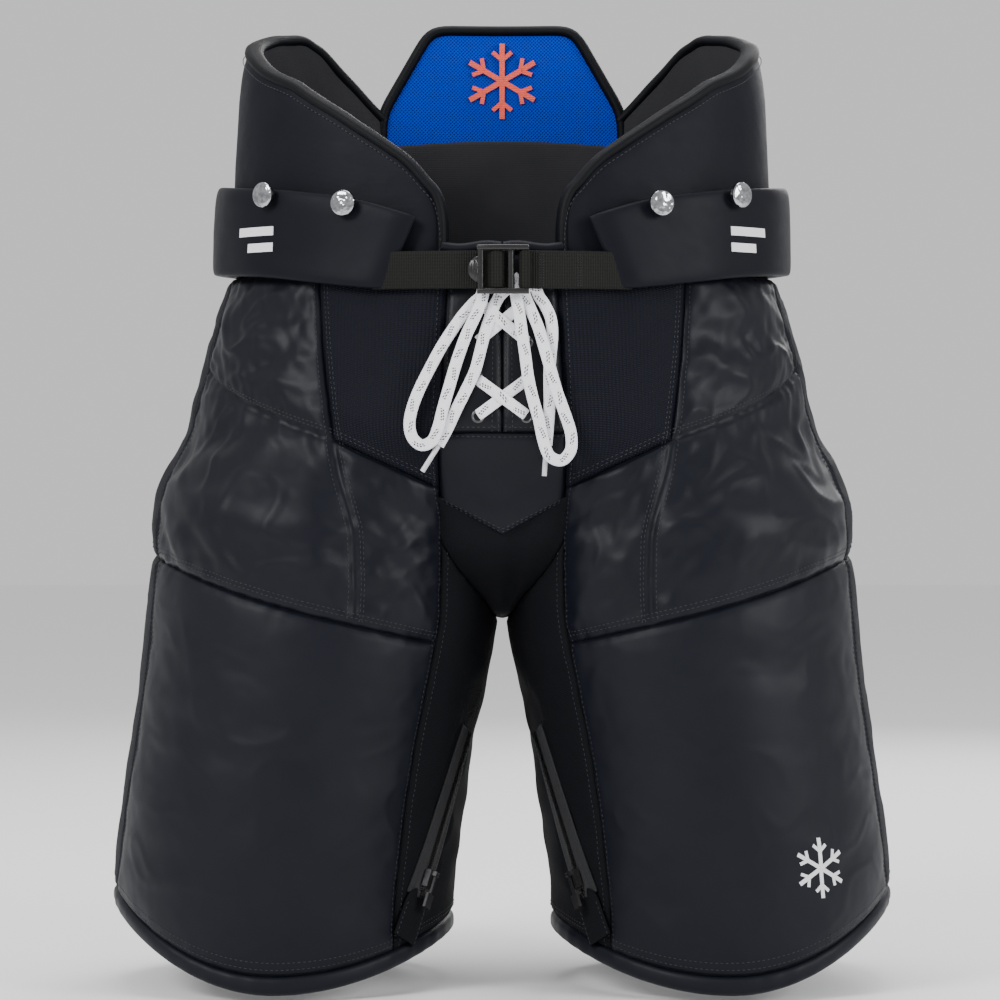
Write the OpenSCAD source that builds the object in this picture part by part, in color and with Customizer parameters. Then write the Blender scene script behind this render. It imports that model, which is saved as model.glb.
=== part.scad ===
// Ice hockey pants: a sewn nylon shell over hip and thigh guards, with a padded belt,
// a lace-up fly, a ladder buckle, kidney wings, a spine pad and inner-leg zips.
// The origin is the centre of the waist, +Z is up and the front faces -Y.
// left_ nodes are on the wearer's left, at +X, and right_ nodes mirror them.
// Heights named _h are measured up from the lowest point of the hem.

/* [Overall] */
// Height of the waist line above the hem
waist_h = 480; // [470:1:490]
// Half width of the shell at the top of the thighs
hip_w = 247; // [240:1:255]
// Half width of the shell at the waist line
waist_w = 188; // [184:1:192]
// Half depth of the shell at the hips
hip_d = 138; // [134:1:142]
// Half depth of the shell at the waist line
waist_d = 122; // [119:1:125]
// Half width of one leg
leg_half_w = 117; // [114:1:119]

/* [Layers] */
// Thickness of the outer nylon
shell_t = 2.5; // [1.5:0.5:3]
// Thickness of the moulded plastic guards
guard_t = 2.2; // [1.8:0.2:2.4]
// Thickness of the foam behind the guards
foam_t = 6; // [5:0.5:6]
// Thickness of the foam in the kidney wings and the spine pad
wing_t = 12.5; // [9:0.5:13]
// Thickness of the padded belt
belt_t = 10; // [6:1:11]

/* [Hip joint] */
// Height of the hip hinge line above the hem
hip_h = 360; // [355:1:365]
// Radius about the hinge line at which the legs start
hip_r = 174; // [172:1:176]
// Clearance on each side of that radius
hip_gap = 4; // [2:0.5:5]

/* [Hardware] */
// Width of the waist webbing
web_w = 25.4; // [20:0.2:26]
// Radius of a suspender button's head
button_r = 8.5; // [7:0.5:9]
// Radius of the middle of an eyelet ring
eyelet_r = 3.6; // [3:0.2:4.4]
// Width of the flat lace
lace_w = 8; // [5:0.5:8]
// Width of the zip tape
zip_w = 26; // [20:1:28]
// Height of the zip slider's lowest place above the hem
zip_low_h = 73; // [70:1:80]

/* [Hidden] */

black = "#1b1d25";
charcoal = "#2c2e34";
webbing = "#2a2c28";
chrome = "#d8dadc";
white = "#ebebf5";
blue = "#0046be";
plastic = "#c9ccd2";
foam = "#8d9096";

// Outline tables, [height above hem, value]
shell_w_at = [
    [180, hip_w + 1], [250, hip_w - 4], [300, hip_w - 8], [330, hip_w - 17], [380, hip_w - 31],
    [425, waist_w + 16], [460, waist_w + 6], [480, waist_w], [545, waist_w - 2],
    [600, waist_w - 4], [660, waist_w - 12]
];
shell_d_at = [[250, hip_d], [380, hip_d], [480, waist_d], [545, waist_d - 2], [660, waist_d - 10]];
leg_x_at = [[0, 152], [60, 151], [120, 144], [165, 137], [216, 128], [250, 123], [300, 121]];
leg_w_at = [
    [0, leg_half_w], [165, leg_half_w], [216, leg_half_w + 2], [250, leg_half_w + 4],
    [300, leg_half_w + 2]
];
leg_d_at = [[0, hip_d - 8], [100, hip_d]];
center_y_at = [[300, 103], [320, 108.5], [340, 120], [360, 131.5], [380, hip_d], [480, waist_d]];

// The shell's border beside the fly and beside the crotch, in degrees from +X
fly_angle = 79;
crotch_angle = 133;
// Heights between which the waist's one oval becomes two legs
legs_h = 300;
oval_h = 380;

// Shares of the way round the side, from the front border to the back border
rib_end = 0.16;
stripe_start = 0.43;
stripe_end = 0.57;
seam_gap = 0.0015;

panel_foot_h = 336;
fly_low_h = 372;
fly_top_h = 495;
hem_roll = 13;
guard_off = -3.9;
foam_off = -6.8;
tongue_off = -3.2;
liner_off = -13.6;
liner_t = 1.4;

// Heights of the rows that all layers share, so that their flat facets keep clear of each other
pelvis_rows = [250, 275, 300, 320, 340, 360, 380, 425];
leg_rows = [60, 100, 140, 175, 216];
fly_rows = [380, 415, 450, 480];
v_rows = [320, 340, 360];
seat_rows = [360, 380, 430];

function clamp01(t) = min(max(t, 0), 1);
function smooth(t) = let (c = clamp01(t)) c * c * (3 - 2 * c);
function mix(p, q, t) = p * (1 - t) + q * t;
function unit(v) = v / norm(v);
function oval(w, d, angle) = [w * cos(angle), d * sin(angle)];
function lift(p, h) = [p.x, p.y, h - waist_h];

// A point of one leg's wall; angle 0 is the outer side, -90 the front and 180 the inner side
function leg_at(angle, h, off) =
    lift(oval(lookup(h, leg_w_at) + off, lookup(h, leg_d_at) + off, angle)
         + [lookup(h, leg_x_at), 0], h);

// A point of the waist's oval
function waist_at(angle, h, off) =
    lift(oval(lookup(h, shell_w_at) + off, lookup(h, shell_d_at) + off, angle), h);

// A point of one side's shell; a runs from its front border, 0, to its back border, 1
function side_at(a, h, off) =
    mix(waist_at((2 * a - 1) * fly_angle, h, off), leg_at((2 * a - 1) * crotch_angle, h, off),
        smooth((oval_h - h) / (oval_h - legs_h)));

// A point of the strip between the two sides; s runs from -1 to 1 across it, front is -1 or 1
function strip_at(s, h, off, front) =
    let (edge = side_at(0, h, off), mid = lookup(h, center_y_at) + off)
    [s * edge.x, front * (mid + (-edge.y - mid) * s * s), h - waist_h];

// Height at which a wall given as f(h) meets the cylinder of radius r about the hip line
function cut_h(f, r, h = 230, steps = 5) =
    steps == 0 ? h : cut_h(f, r, hip_h - sqrt(r * r - pow(f(h).y, 2)), steps - 1);

function hem_h(angle) = 50 * pow(max(0, cos(angle)), 2) + 30 * pow(max(0, -cos(angle)), 2);

// Height and half width of the crotch strip at depth y
crotch_at = [[0, 246], [35, 251], [70, 268], [88, 281], [103, 300], [109, 320], [118, 336]];
function crotch_h(y) = lookup(abs(y), crotch_at);
function crotch_w(y) =
    let (h = crotch_h(y), r = abs(y) / lookup(h, leg_d_at))
    lookup(h, leg_x_at) - lookup(h, leg_w_at) * sqrt(1 - r * r);

// Upper edge of the kidney wings and both edges of the belt, [angle, height]
wing_top_at = [
    [-74, 530], [-68, 565], [-62, 580], [-45, 600], [-26, 619], [-15, 632], [0, 645], [20, 655],
    [33, 658], [41, 650], [52, 627], [60, 605]
];
belt_top_at = [[-73, 512], [-59, 529], [-38, 537], [0, 545], [62, 545]];
belt_low_at = [[-69, 467], [-40, 478], [0, 484], [62, 484]];
wing_end = 60;
binding_r = 4;

// Half width of the spine pad by height
spine_w_at = [[484, 84], [607, 90], [673, 54]];
spine_low_h = 488;
spine_top_h = 673;

// Faces of a plate whose outer grid is followed by its inner grid, both nu by nv cells
function grid_faces(nu, nv, closed) =
    let (
        cols = closed ? nu : nu + 1,
        rows = nv + 1,
        half = cols * rows,
        at = function (i, j) (i % cols) * rows + j,
        quads = concat(
            [for (i = [0:nu - 1], j = [0:nv - 1])
                [at(i, j), at(i, j + 1), at(i + 1, j + 1), at(i + 1, j)]],
            [for (i = [0:nu - 1], j = [0:nv - 1])
                [half + at(i, j), half + at(i + 1, j), half + at(i + 1, j + 1), half + at(i, j + 1)]],
            [for (i = [0:nu - 1]) [at(i, 0), at(i + 1, 0), half + at(i + 1, 0), half + at(i, 0)]],
            [for (i = [0:nu - 1])
                [at(i, nv), half + at(i, nv), half + at(i + 1, nv), at(i + 1, nv)]],
            closed ? [] : [for (j = [0:nv - 1])
                [at(0, j), half + at(0, j), half + at(0, j + 1), at(0, j + 1)]],
            closed ? [] : [for (j = [0:nv - 1])
                [at(nu, j), at(nu, j + 1), half + at(nu, j + 1), half + at(nu, j)]]
        )
    )
    [for (q = quads, t = [[q[0], q[1], q[2]], [q[0], q[2], q[3]]]) t];

// Height of row j, counted from low up through the shared rows to top
function row_h(j, low, top, rows) =
    let (n = len(rows) + 1)
    j == 0 ? low : j == n ? top : min(max(rows[j - 1], low + 4 * j), top - 4 * (n - j));

// A plate whose outer face is f(u, v, out) and inner face f(u, v, out - thick)
module plate(f, nu, nv, out, thick, closed = false) {
    last = closed ? nu - 1 : nu;
    polyhedron(
        [for (off = [out, out - thick], i = [0:last], j = [0:nv]) f(i / nu, j / nv, off)],
        grid_faces(nu, nv, closed)
    );
}

// A tube through the points of a path, flattened along the direction flat_dir
module tube(path, half_w, half_t, flat_dir, sides = 8, closed = false) {
    n = len(path);
    rings = [for (i = [0:n - 1])
        let (
            before = path[closed ? (i + n - 1) % n : max(i - 1, 0)],
            after = path[closed ? (i + 1) % n : min(i + 1, n - 1)],
            along = unit(after - before),
            across = unit(cross(along, flat_dir)),
            up = cross(across, along)
        )
        [for (k = [0:sides - 1])
            path[i] + half_w * cos(360 * k / sides) * across + half_t * sin(360 * k / sides) * up]];
    laps = closed ? n : n - 1;
    walls = [for (i = [0:laps - 1], k = [0:sides - 1])
        let (p = i * sides, q = ((i + 1) % n) * sides, m = (k + 1) % sides)
        each [[p + k, q + k, q + m], [p + k, q + m, p + m]]];
    caps = closed ? [] : [
        [for (k = [0:sides - 1]) k],
        [for (k = [sides - 1:-1:0]) (n - 1) * sides + k]
    ];
    polyhedron([for (r = rings, p = r) p], concat(walls, caps));
}

module for_side(side) {
    mirror([side > 0 ? 0 : 1, 0, 0]) children();
}

// A shell layer of the pelvis between shares a0 and a1 of the way round one side
module pelvis_plate(side, a0, a1, top, out, thick, nu) {
    nv = len(pelvis_rows) + 1;
    for_side(side)
        plate(function (u, v, off)
                let (a = a0 + (a1 - a0) * u, f = function (h) side_at(a, h, off))
                f(row_h(round(nv * v), cut_h(f, hip_r - hip_gap), top, pelvis_rows)),
            nu, nv, out, thick);
}

// A layer of one leg between two angles, from rise above the hem to drop below the hip cut
module leg_plate(side, from, to, rise, drop, out, thick, nu, closed = false) {
    nv = len(leg_rows) + 1;
    for_side(side)
        plate(function (u, v, off)
                let (
                    angle = from + (to - from) * u,
                    f = function (h) leg_at(angle, h, off),
                    low = hem_h(angle) + rise,
                    top = cut_h(f, hip_r + hip_gap + drop)
                )
                f(row_h(round(nv * v), low, top, leg_rows)),
            nu, nv, out, thick, closed);
}

module rib_panel(side) {
    color(charcoal)
        pelvis_plate(side, 0.004, rib_end - seam_gap, waist_h, 0, shell_t, 4);
}

module hip_panel(side) {
    color(black)
        pelvis_plate(side, rib_end + seam_gap, stripe_start - seam_gap, waist_h, 0, shell_t, 7);
}

module side_stripe(side) {
    color(charcoal)
        pelvis_plate(side, stripe_start + seam_gap, stripe_end - seam_gap, waist_h, 0, shell_t, 4);
}

module seat_panel(side) {
    color(black)
        pelvis_plate(side, stripe_end + seam_gap, 0.996, waist_h, 0, shell_t, 10);
}

// The strip between the seat panels, above the crotch
module seat_center_panel() {
    color(black)
        plate(function (u, v, off)
                strip_at(1 - 2 * u, row_h(round(4 * v), panel_foot_h + 1, waist_h, seat_rows), off, 1),
            6, 4, 0, shell_t);
}

// One half of the lace-up fly
module fly(side) {
    color(black)
        for_side(side)
            plate(function (u, v, off)
                    strip_at(0.012 + 0.976 * u, row_h(round(5 * v), fly_low_h, fly_top_h, fly_rows), off,
                        -1),
                4, 5, 0, shell_t);
}

// The tongue behind the fly
module fly_tongue() {
    color(black)
        plate(function (u, v, off)
                strip_at(1.8 * u - 0.9, row_h(round(5 * v), fly_low_h + 4, fly_top_h - 3, fly_rows), off,
                    -1),
            6, 5, tongue_off, 2);
}

// The panel below the fly, with its lower edge in a V
module crotch_v_panel() {
    color(black)
        plate(function (u, v, off)
                let (s = 2 * u - 1, low = 310 + 26 * abs(s))
                strip_at(0.97 * s, row_h(round(4 * v), low, fly_low_h - 0.6, v_rows), off, -1),
            6, 4, 0, shell_t);
}

// The stretch strip under the crotch and its wall at the top of each inner thigh
module crotch_gusset() {
    reach = 111;
    thick = shell_t;
    color(charcoal)
        union() {
            plate(function (u, v, off)
                    let (
                        s = 1 - 2 * u,
                        front = 103 + 11 * abs(s),
                        y = -front + (front + reach) * v,
                        slope = crotch_h(y + 1) - crotch_h(y - 1),
                        normal = unit([-slope / 2, 1])
                    )
                    [s * (crotch_w(y) + 1), y - off * normal.x, crotch_h(y) - waist_h - off * normal.y],
                4, 14, -3, thick);
            for (side = [1, -1])
                for_side(side)
                    plate(function (u, v, off)
                            let (
                                angle = crotch_angle + 2 + (356 - 2 * crotch_angle) * u,
                                f = function (h) leg_at(angle, h, off),
                                low = cut_h(f, hip_r - hip_gap),
                                top = crotch_h(f(260).y) + 4.2
                            )
                            f(low * (1 - v) + top * v),
                        10, 3, 0, thick);
        }
}

module hip_guard(side) {
    color(plastic)
        pelvis_plate(side, 0.27, 0.73, waist_h - 22, guard_off, guard_t, 14);
}

module hip_foam(side) {
    color(foam)
        pelvis_plate(side, 0.24, 0.76, waist_h - 16, foam_off, foam_t, 14);
}

// The lining sewn in round the waist
module hip_liner() {
    color(charcoal)
        plate(function (u, v, off) waist_at(360 * u, (oval_h + 4) * (1 - v) + waist_h * v, off),
            28, 3, liner_off, liner_t, true);
}

// A foam wing that stands up round the kidneys from the waist line
module kidney_wing(side) {
    color(black)
        for_side(side)
            plate(function (u, v, off)
                    let (
                        angle = -74 + (wing_end + 74) * u,
                        top = lookup(angle, wing_top_at) - 2 * binding_r - 0.3
                    )
                    waist_at(angle, (waist_h + 0.5) * (1 - v) + top * v, off),
                16, 4, -0.5, wing_t);
}

// The rolled bindings along the wings and round the spine pad
module edge_bindings() {
    middle = -0.5 - wing_t / 2;
    color(black) {
        for (side = [1, -1])
            for_side(side)
                tube([for (i = [0:22])
                        let (angle = -74 + (wing_end + 74) * i / 22)
                        waist_at(angle, lookup(angle, wing_top_at) - binding_r, middle)],
                    binding_r, binding_r, [0, 0, 1], 6);
        tube([for (p = spine_outline(binding_r)) spine_at(p[0], p[1], middle - 1)],
            binding_r, binding_r, [0, 1, 0], 6, true);
    }
}

// A point of the spine pad's surface at x and height h
function spine_at(x, h, off) =
    let (w = lookup(h, shell_w_at) + off, d = lookup(h, shell_d_at) + off)
    [x, d * sqrt(1 - x * x / (w * w)), h - waist_h];

// The spine pad's outline, grown by edge, as [x, h] pairs
function spine_outline(edge) =
    let (
        heights = [488, 511, 535, 559, 583, 605, 622, 639, 656, 671],
        side = [for (h = heights) [lookup(h, spine_w_at) - 8.3 + edge, h]]
    )
    concat(side, [[30, 673], [0, 674], [-30, 673]],
        [for (i = [len(side) - 1:-1:0]) [-side[i][0], side[i][1]]], [[-30, 485], [30, 485]]);

module spine_pad() {
    color(blue)
        plate(function (u, v, off)
                let (h = (spine_low_h + 3) * (1 - v) + (spine_top_h - 6) * v)
                spine_at((1 - 2 * u) * (lookup(h, spine_w_at) - 8.6), h, off),
            8, 8, -1.5, wing_t);
}

// The pocket that covers the lower half of the spine pad
module lumbar_liner() {
    color(charcoal)
        plate(function (u, v, off)
                spine_at((1 - 2 * u) * 74, (spine_low_h + 4) * (1 - v) + 580 * v, off),
            6, 4, -2 - wing_t, liner_t);
}

// The plastic plate behind the seat's centre strip
module tailbone_guard() {
    color(plastic)
        plate(function (u, v, off)
                strip_at(0.95 - 1.9 * u, row_h(round(4 * v), panel_foot_h + 8, waist_h - 12, seat_rows),
                    off, 1),
            6, 4, guard_off, guard_t);
}

// One half of the padded belt, with its front end cut on a slant
module belt_pad(side) {
    color(black)
        for_side(side)
            plate(function (u, v, off)
                    let (
                        front = -67 - 6 * v,
                        angle = front + (62 - front) * u,
                        low = lookup(angle, belt_low_at),
                        top = lookup(angle, belt_top_at)
                    )
                    waist_at(angle, low * (1 - v) + top * v, off),
                14, 3, 3 + belt_t, belt_t);
}

strap_off = 8.6;
strap_t = 2;
buckle_x = 1;
buckle_y = -133.4;
buckle_t = 4.6;
anchor_x = 15;
anchor_y = -135.7;
anchor_r = 1.8;

// A length of waist webbing between two places x on the front, as f(v) for each end
module web(from, to) {
    plate(function (u, v, off)
            let (
                x = from(v) * (1 - u) + to(v) * u,
                w = waist_w + off,
                d = waist_d + off
            )
            [x, -d * sqrt(1 - x * x / (w * w)), (v - 0.5) * web_w],
        8, 1, strap_off + strap_t, strap_t);
}

// The anchor webbing, sewn to the left belt pad and looped round the buckle's bar
module left_strap() {
    color(webbing) {
        web(function (v) anchor_x, function (v) 74.5 - 9.5 * v);
        translate([anchor_x, anchor_y, -web_w / 2])
            difference() {
                cylinder(h = web_w, r = anchor_r + 2.2, $fn = 40);
                translate([0, 0, -1])
                    cylinder(h = web_w + 2, r = anchor_r + 0.3, $fn = 40);
            }
    }
}

// The adjusting webbing, which runs behind the buckle
module right_strap() {
    color(webbing)
        web(function (v) -74.5 + 9.5 * v, function (v) anchor_x - 8);
}

// The ladder buckle: two rails, two ladder bars, the anchor bar and a release tab
module ladder_buckle() {
    rail_z = web_w / 2 + 0.4;
    rail_t = 3;
    left_x = buckle_x - 16;
    color(black)
        union() {
            for (z = [rail_z, -rail_z - rail_t])
                translate([left_x, buckle_y - buckle_t, z])
                    cube([anchor_x + 2.4 - left_x, buckle_t, rail_t]);
            for (x = [left_x, left_x + 9.5, left_x + 19])
                translate([x, buckle_y - buckle_t, -rail_z - 1])
                    cube([3.2, 3, 2 * rail_z + 2]);
            translate([anchor_x, anchor_y, -rail_z - 1])
                cylinder(h = 2 * rail_z + 2, r = anchor_r, $fn = 32);
            translate([left_x, buckle_y - buckle_t, 0])
                intersection() {
                    rotate([-90, 0, 0])
                        cylinder(h = 3, r = 7, $fn = 48);
                    translate([-8, 0, -8])
                        cube([8.5, 3, 16]);
                }
        }
}

// Suspender buttons, [angle, height]; their studs go into the belt
button_places = [[-58.6, 525], [-37.8, 533], [52, 541]];

module suspender_buttons() {
    color(chrome)
        for (side = [1, -1], place = button_places)
            for_side(side)
                let (base = waist_at(place[0], place[1], 3 + belt_t))
                translate(base)
                    rotate([0, 90, atan2(base.y * pow(waist_w / waist_d, 2), base.x)])
                        rotate_extrude($fn = 48)
                            button_profile();
}

// Half section of a button: stud, flange, neck and domed head
module button_profile() {
    neck_r = 3.2;
    head_z = 3.6;
    rim_t = 2.5;
    polygon(concat(
        [[0, -3], [neck_r - 0.7, -3], [neck_r - 0.7, 0], [6, 0], [6, 1], [neck_r, 1], [neck_r, head_z],
            [button_r, head_z], [button_r, head_z + rim_t]],
        [for (i = [1:6]) [button_r * cos(15 * i), head_z + rim_t + 1.6 * sin(15 * i)]]
    ));
}

eyelet_x = 16;
eyelet_heights = [460, 432, 408, 383];

module eyelets() {
    color("#3a3a3e")
        for (x = [eyelet_x, -eyelet_x], h = eyelet_heights)
            translate([x, -lookup(h, center_y_at) + 0.1, h - waist_h])
                rotate([90, 0, 0])
                    rotate_extrude($fn = 40)
                        translate([eyelet_r, 0])
                            circle(r = 0.9, $fn = 20);
}

// The crossed stretches of lace on the fly and the bow's knot behind the buckle
module lacing() {
    color(white) {
        for (pair = [[0, 1], [2, 3]], flip = [1, -1])
            hull()
                for (end = [0, 1])
                    let (h = eyelet_heights[pair[end]], x = flip * (end == 0 ? -1 : 1) * (eyelet_x - 3))
                    translate([x, -lookup(h, center_y_at) - 1.2 - (flip > 0 ? 1.2 : 0), h - waist_h])
                        rotate([90, 0, 0])
                            cylinder(h = 1.2, r = lace_w / 2, $fn = 16);
        hull()
            for (x = [-12, 22], h = [468, 473])
                translate([x, -126.8, h - waist_h])
                    sphere(r = 2.7, $fn = 16);
    }
}

// Routes of the bow's loose laces, with heights above the hem, from the knot downwards
right_loop_route = [
    [-14, -128, 463], [-19, -129, 458], [-26, -131, 450], [-33, -133, 440], [-40, -135, 429],
    [-47, -137, 416], [-54, -139, 402], [-59, -141, 389], [-61, -141, 378], [-59, -142, 369],
    [-53, -143, 364], [-46, -143, 367], [-42, -143, 376], [-39, -142, 388], [-35, -141, 402],
    [-30, -139, 419], [-24, -136, 436], [-17, -134, 451], [-13, -132, 462]
];
right_tail_route = [
    [-2, -128, 463], [-5, -129, 457], [-9, -131, 446], [-12, -133, 436], [-15, -135, 424],
    [-18, -137, 413], [-24, -139, 400], [-30, -140, 388], [-36, -140, 375], [-42, -140, 364]
];
left_loop_route = [
    [15, -129, 463], [19, -132, 453], [24, -135, 441], [28, -139, 427], [32, -141, 413],
    [36, -142, 399], [41, -143, 385], [45, -143, 372], [45, -143, 361], [39, -143, 354],
    [31, -143, 357], [27, -143, 367], [24, -143, 381], [20, -142, 395], [17, -141, 409],
    [15, -139, 424], [13, -137, 438], [11, -135, 452], [9, -132, 463]
];
left_tail_route = [
    [24, -128, 463], [28, -129, 457], [32, -130, 448], [33, -132, 437], [32, -134, 425],
    [31, -136, 412], [31, -137, 400], [31, -139, 388], [30, -139, 375], [29, -139, 364]
];

function above_waist(route) = [for (p = route) [p.x, p.y, p.z - waist_h]];

module loose_lace(route) {
    color(white)
        tube(above_waist(route), lace_w / 2 - 0.3, 0.9, [0, 1, 0]);
}

// The metal tips at the ends of the two tails
module lace_aglets() {
    color(chrome)
        for (end = [[[-42, -140, 363.7], 32], [[29, -139, 363.7], 4]])
            translate([end[0].x, end[0].y, end[0].z - waist_h])
                rotate([0, 180 + end[1], 0])
                    cylinder(h = 20, r = 1.7, $fn = 24);
}

module thigh_front(side) {
    color(black)
        leg_plate(side, -crotch_angle + 0.3, -16.3, hem_roll + 0.4, 0, 0, shell_t, 12);
}

module thigh_side(side) {
    color(charcoal)
        leg_plate(side, -15.7, 15.7, hem_roll + 0.4, 0, 0, shell_t, 3);
}

module thigh_back(side) {
    color(black)
        leg_plate(side, 16.3, crotch_angle - 0.3, hem_roll + 0.4, 0, 0, shell_t, 12);
}

module inner_leg(side) {
    color(charcoal)
        leg_plate(side, crotch_angle + 0.3, 360 - crotch_angle - 0.3, hem_roll + 0.4, 0, 0, shell_t,
            8);
}

// The rolled hem, which closes all the layers of the leg
module hem_band(side) {
    color(black)
        for_side(side)
            plate(function (u, v, off)
                    let (angle = 360 * u) leg_at(angle, hem_h(angle) + hem_roll * v, off),
                28, 1, 0.5, 15.8, true);
}

module thigh_guard(side) {
    color(plastic)
        leg_plate(side, -118, 28, hem_roll + 12, 10, guard_off, guard_t, 18);
}

module thigh_foam(side) {
    color(foam)
        leg_plate(side, -124, 34, hem_roll + 6, 4, foam_off, foam_t, 18);
}

module leg_liner(side) {
    color(charcoal)
        leg_plate(side, 0, 360, hem_roll + 0.4, 2, liner_off, liner_t, 24, true);
}

// The inner-leg zip lies along a straight line from its low end to its high end
zip_low = leg_at(-144.5, zip_low_h, 2.6);
zip_high = leg_at(-164, zip_low_h + 111, 2.6);
zip_along = unit(zip_high - zip_low);
zip_out = unit(cross(cross(zip_along, [-cos(26), -sin(26), 0]), zip_along));
zip_across = cross(zip_along, zip_out);
zip_length = norm(zip_high - zip_low);

// Children are drawn with X across the zip, Y out of the leg and Z up along the zip
module on_zip(side) {
    for_side(side)
        multmatrix([for (i = [0:2]) [zip_across[i], zip_out[i], zip_along[i], zip_low[i]]])
            children();
}

module zip_tape(side) {
    color(black)
        on_zip(side)
            translate([-zip_w / 2, 0, -14])
                cube([zip_w, 1.2, zip_length + 15]);
}

slider_w = 9;
slider_t = 4;
slider_l = 12;
pull_pin_r = 1;

// The slider: a body over the teeth with a bridge that holds the pull's ring
module zip_slider(side) {
    color(chrome)
        on_zip(side)
            union() {
                translate([-slider_w / 2, 1.5, -slider_l / 2])
                    cube([slider_w, slider_t, slider_l]);
                for (x = [-2.4, 1.2])
                    translate([x, 1.5 + slider_t, 2.4])
                        cube([1.2, 3.4, 3.2]);
                translate([-2.4, 1.5 + slider_t + 2, 4])
                    rotate([0, 90, 0])
                        cylinder(h = 4.8, r = pull_pin_r, $fn = 24);
            }
}

// The pull tab: an eye on the slider's pin and a tongue that hangs down
module zip_pull(side) {
    pin_y = 1.5 + slider_t + 2;
    color(black)
        on_zip(side)
            difference() {
                union() {
                    translate([-0.9, pin_y, 4])
                        rotate([0, 90, 0])
                            cylinder(h = 1.8, r = 1.9, $fn = 32);
                    translate([-0.9, pin_y - 0.8, -11])
                        cube([1.8, 1.6, 14]);
                    translate([-4, pin_y - 0.9, -20])
                        cube([8, 1.8, 10]);
                }
                translate([-2, pin_y, 4])
                    rotate([0, 90, 0])
                        cylinder(h = 4, r = pull_pin_r + 0.2, $fn = 24);
            }
}

rib_panel(1);  // left_rib_panel
rib_panel(-1);  // right_rib_panel
hip_panel(1);  // left_hip_panel
hip_panel(-1);  // right_hip_panel
side_stripe(1);  // left_side_stripe
side_stripe(-1);  // right_side_stripe
seat_panel(1);  // left_seat_panel
seat_panel(-1);  // right_seat_panel
seat_center_panel();
fly(1);  // left_fly
fly(-1);  // right_fly
fly_tongue();
crotch_v_panel();
crotch_gusset();
hip_guard(1);  // left_hip_guard
hip_guard(-1);  // right_hip_guard
hip_foam(1);  // left_hip_foam
hip_foam(-1);  // right_hip_foam
hip_liner();
kidney_wing(1);  // left_kidney_wing
kidney_wing(-1);  // right_kidney_wing
edge_bindings();
spine_pad();
lumbar_liner();
tailbone_guard();
belt_pad(1);  // left_belt_pad
belt_pad(-1);  // right_belt_pad
left_strap();
right_strap();
suspender_buttons();
eyelets();
lacing();
loose_lace(left_loop_route);  // left_lace_loop
loose_lace(right_loop_route);  // right_lace_loop
loose_lace(left_tail_route);  // left_lace_tail
loose_lace(right_tail_route);  // right_lace_tail
lace_aglets();
ladder_buckle();
thigh_front(1);  // left_thigh_front
thigh_front(-1);  // right_thigh_front
thigh_side(1);  // left_thigh_side
thigh_side(-1);  // right_thigh_side
thigh_back(1);  // left_thigh_back
thigh_back(-1);  // right_thigh_back
inner_leg(1);  // left_inner_leg
inner_leg(-1);  // right_inner_leg
hem_band(1);  // left_hem_band
hem_band(-1);  // right_hem_band
thigh_guard(1);  // left_thigh_guard
thigh_guard(-1);  // right_thigh_guard
thigh_foam(1);  // left_thigh_foam
thigh_foam(-1);  // right_thigh_foam
leg_liner(1);  // left_leg_liner
leg_liner(-1);  // right_leg_liner
zip_tape(1);  // left_zip_tape
zip_tape(-1);  // right_zip_tape
zip_slider(1);  // left_zip_slider
zip_slider(-1);  // right_zip_slider
zip_pull(1);  // left_zip_pull
zip_pull(-1);  // right_zip_pull
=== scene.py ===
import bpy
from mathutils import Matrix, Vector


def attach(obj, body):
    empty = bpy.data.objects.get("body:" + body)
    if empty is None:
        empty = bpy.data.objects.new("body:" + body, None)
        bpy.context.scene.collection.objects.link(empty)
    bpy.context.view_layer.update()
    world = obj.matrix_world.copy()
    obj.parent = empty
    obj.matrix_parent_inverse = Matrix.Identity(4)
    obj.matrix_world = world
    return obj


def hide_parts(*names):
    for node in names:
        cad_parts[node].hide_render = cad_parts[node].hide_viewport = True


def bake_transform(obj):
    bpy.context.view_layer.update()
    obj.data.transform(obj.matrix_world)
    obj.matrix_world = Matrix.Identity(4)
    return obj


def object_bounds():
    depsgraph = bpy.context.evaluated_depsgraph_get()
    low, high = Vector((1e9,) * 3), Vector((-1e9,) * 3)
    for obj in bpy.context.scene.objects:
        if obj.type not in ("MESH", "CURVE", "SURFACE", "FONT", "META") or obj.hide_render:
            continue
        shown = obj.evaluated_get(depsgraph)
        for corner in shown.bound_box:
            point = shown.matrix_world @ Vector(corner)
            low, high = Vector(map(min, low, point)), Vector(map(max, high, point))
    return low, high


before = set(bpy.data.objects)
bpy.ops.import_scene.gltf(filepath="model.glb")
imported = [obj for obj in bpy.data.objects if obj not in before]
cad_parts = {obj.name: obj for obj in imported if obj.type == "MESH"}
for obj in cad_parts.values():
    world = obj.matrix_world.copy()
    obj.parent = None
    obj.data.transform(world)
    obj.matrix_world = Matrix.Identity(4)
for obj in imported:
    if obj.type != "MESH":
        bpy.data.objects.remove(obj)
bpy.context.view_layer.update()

import math

import bpy
import numpy as np
from mathutils import Vector, noise
from mathutils.bvhtree import BVHTree

# Lengths are in millimetres and heights are measured up from the hem, as in the CAD source,
# until mesh_piece() turns them into metres in the frame.
WAIST_H = 480.0
FLY_ANGLE, CROTCH_ANGLE = 79.0, 133.0
SHELL_T, HEM_ROLL = 2.3, 13.0
WING_OFF, BELT_OFF, LINING_OFF, WEB_OFF = -6.8, 8.0, -13.4, 9.6
TEETH, TOOTH_PITCH = 74, 1.6
CAMERA_AWAY, CAMERA_H, LENS = 2.6, 328, 134.7


# ---------------------------------------------------------------- shape of the pants

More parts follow.
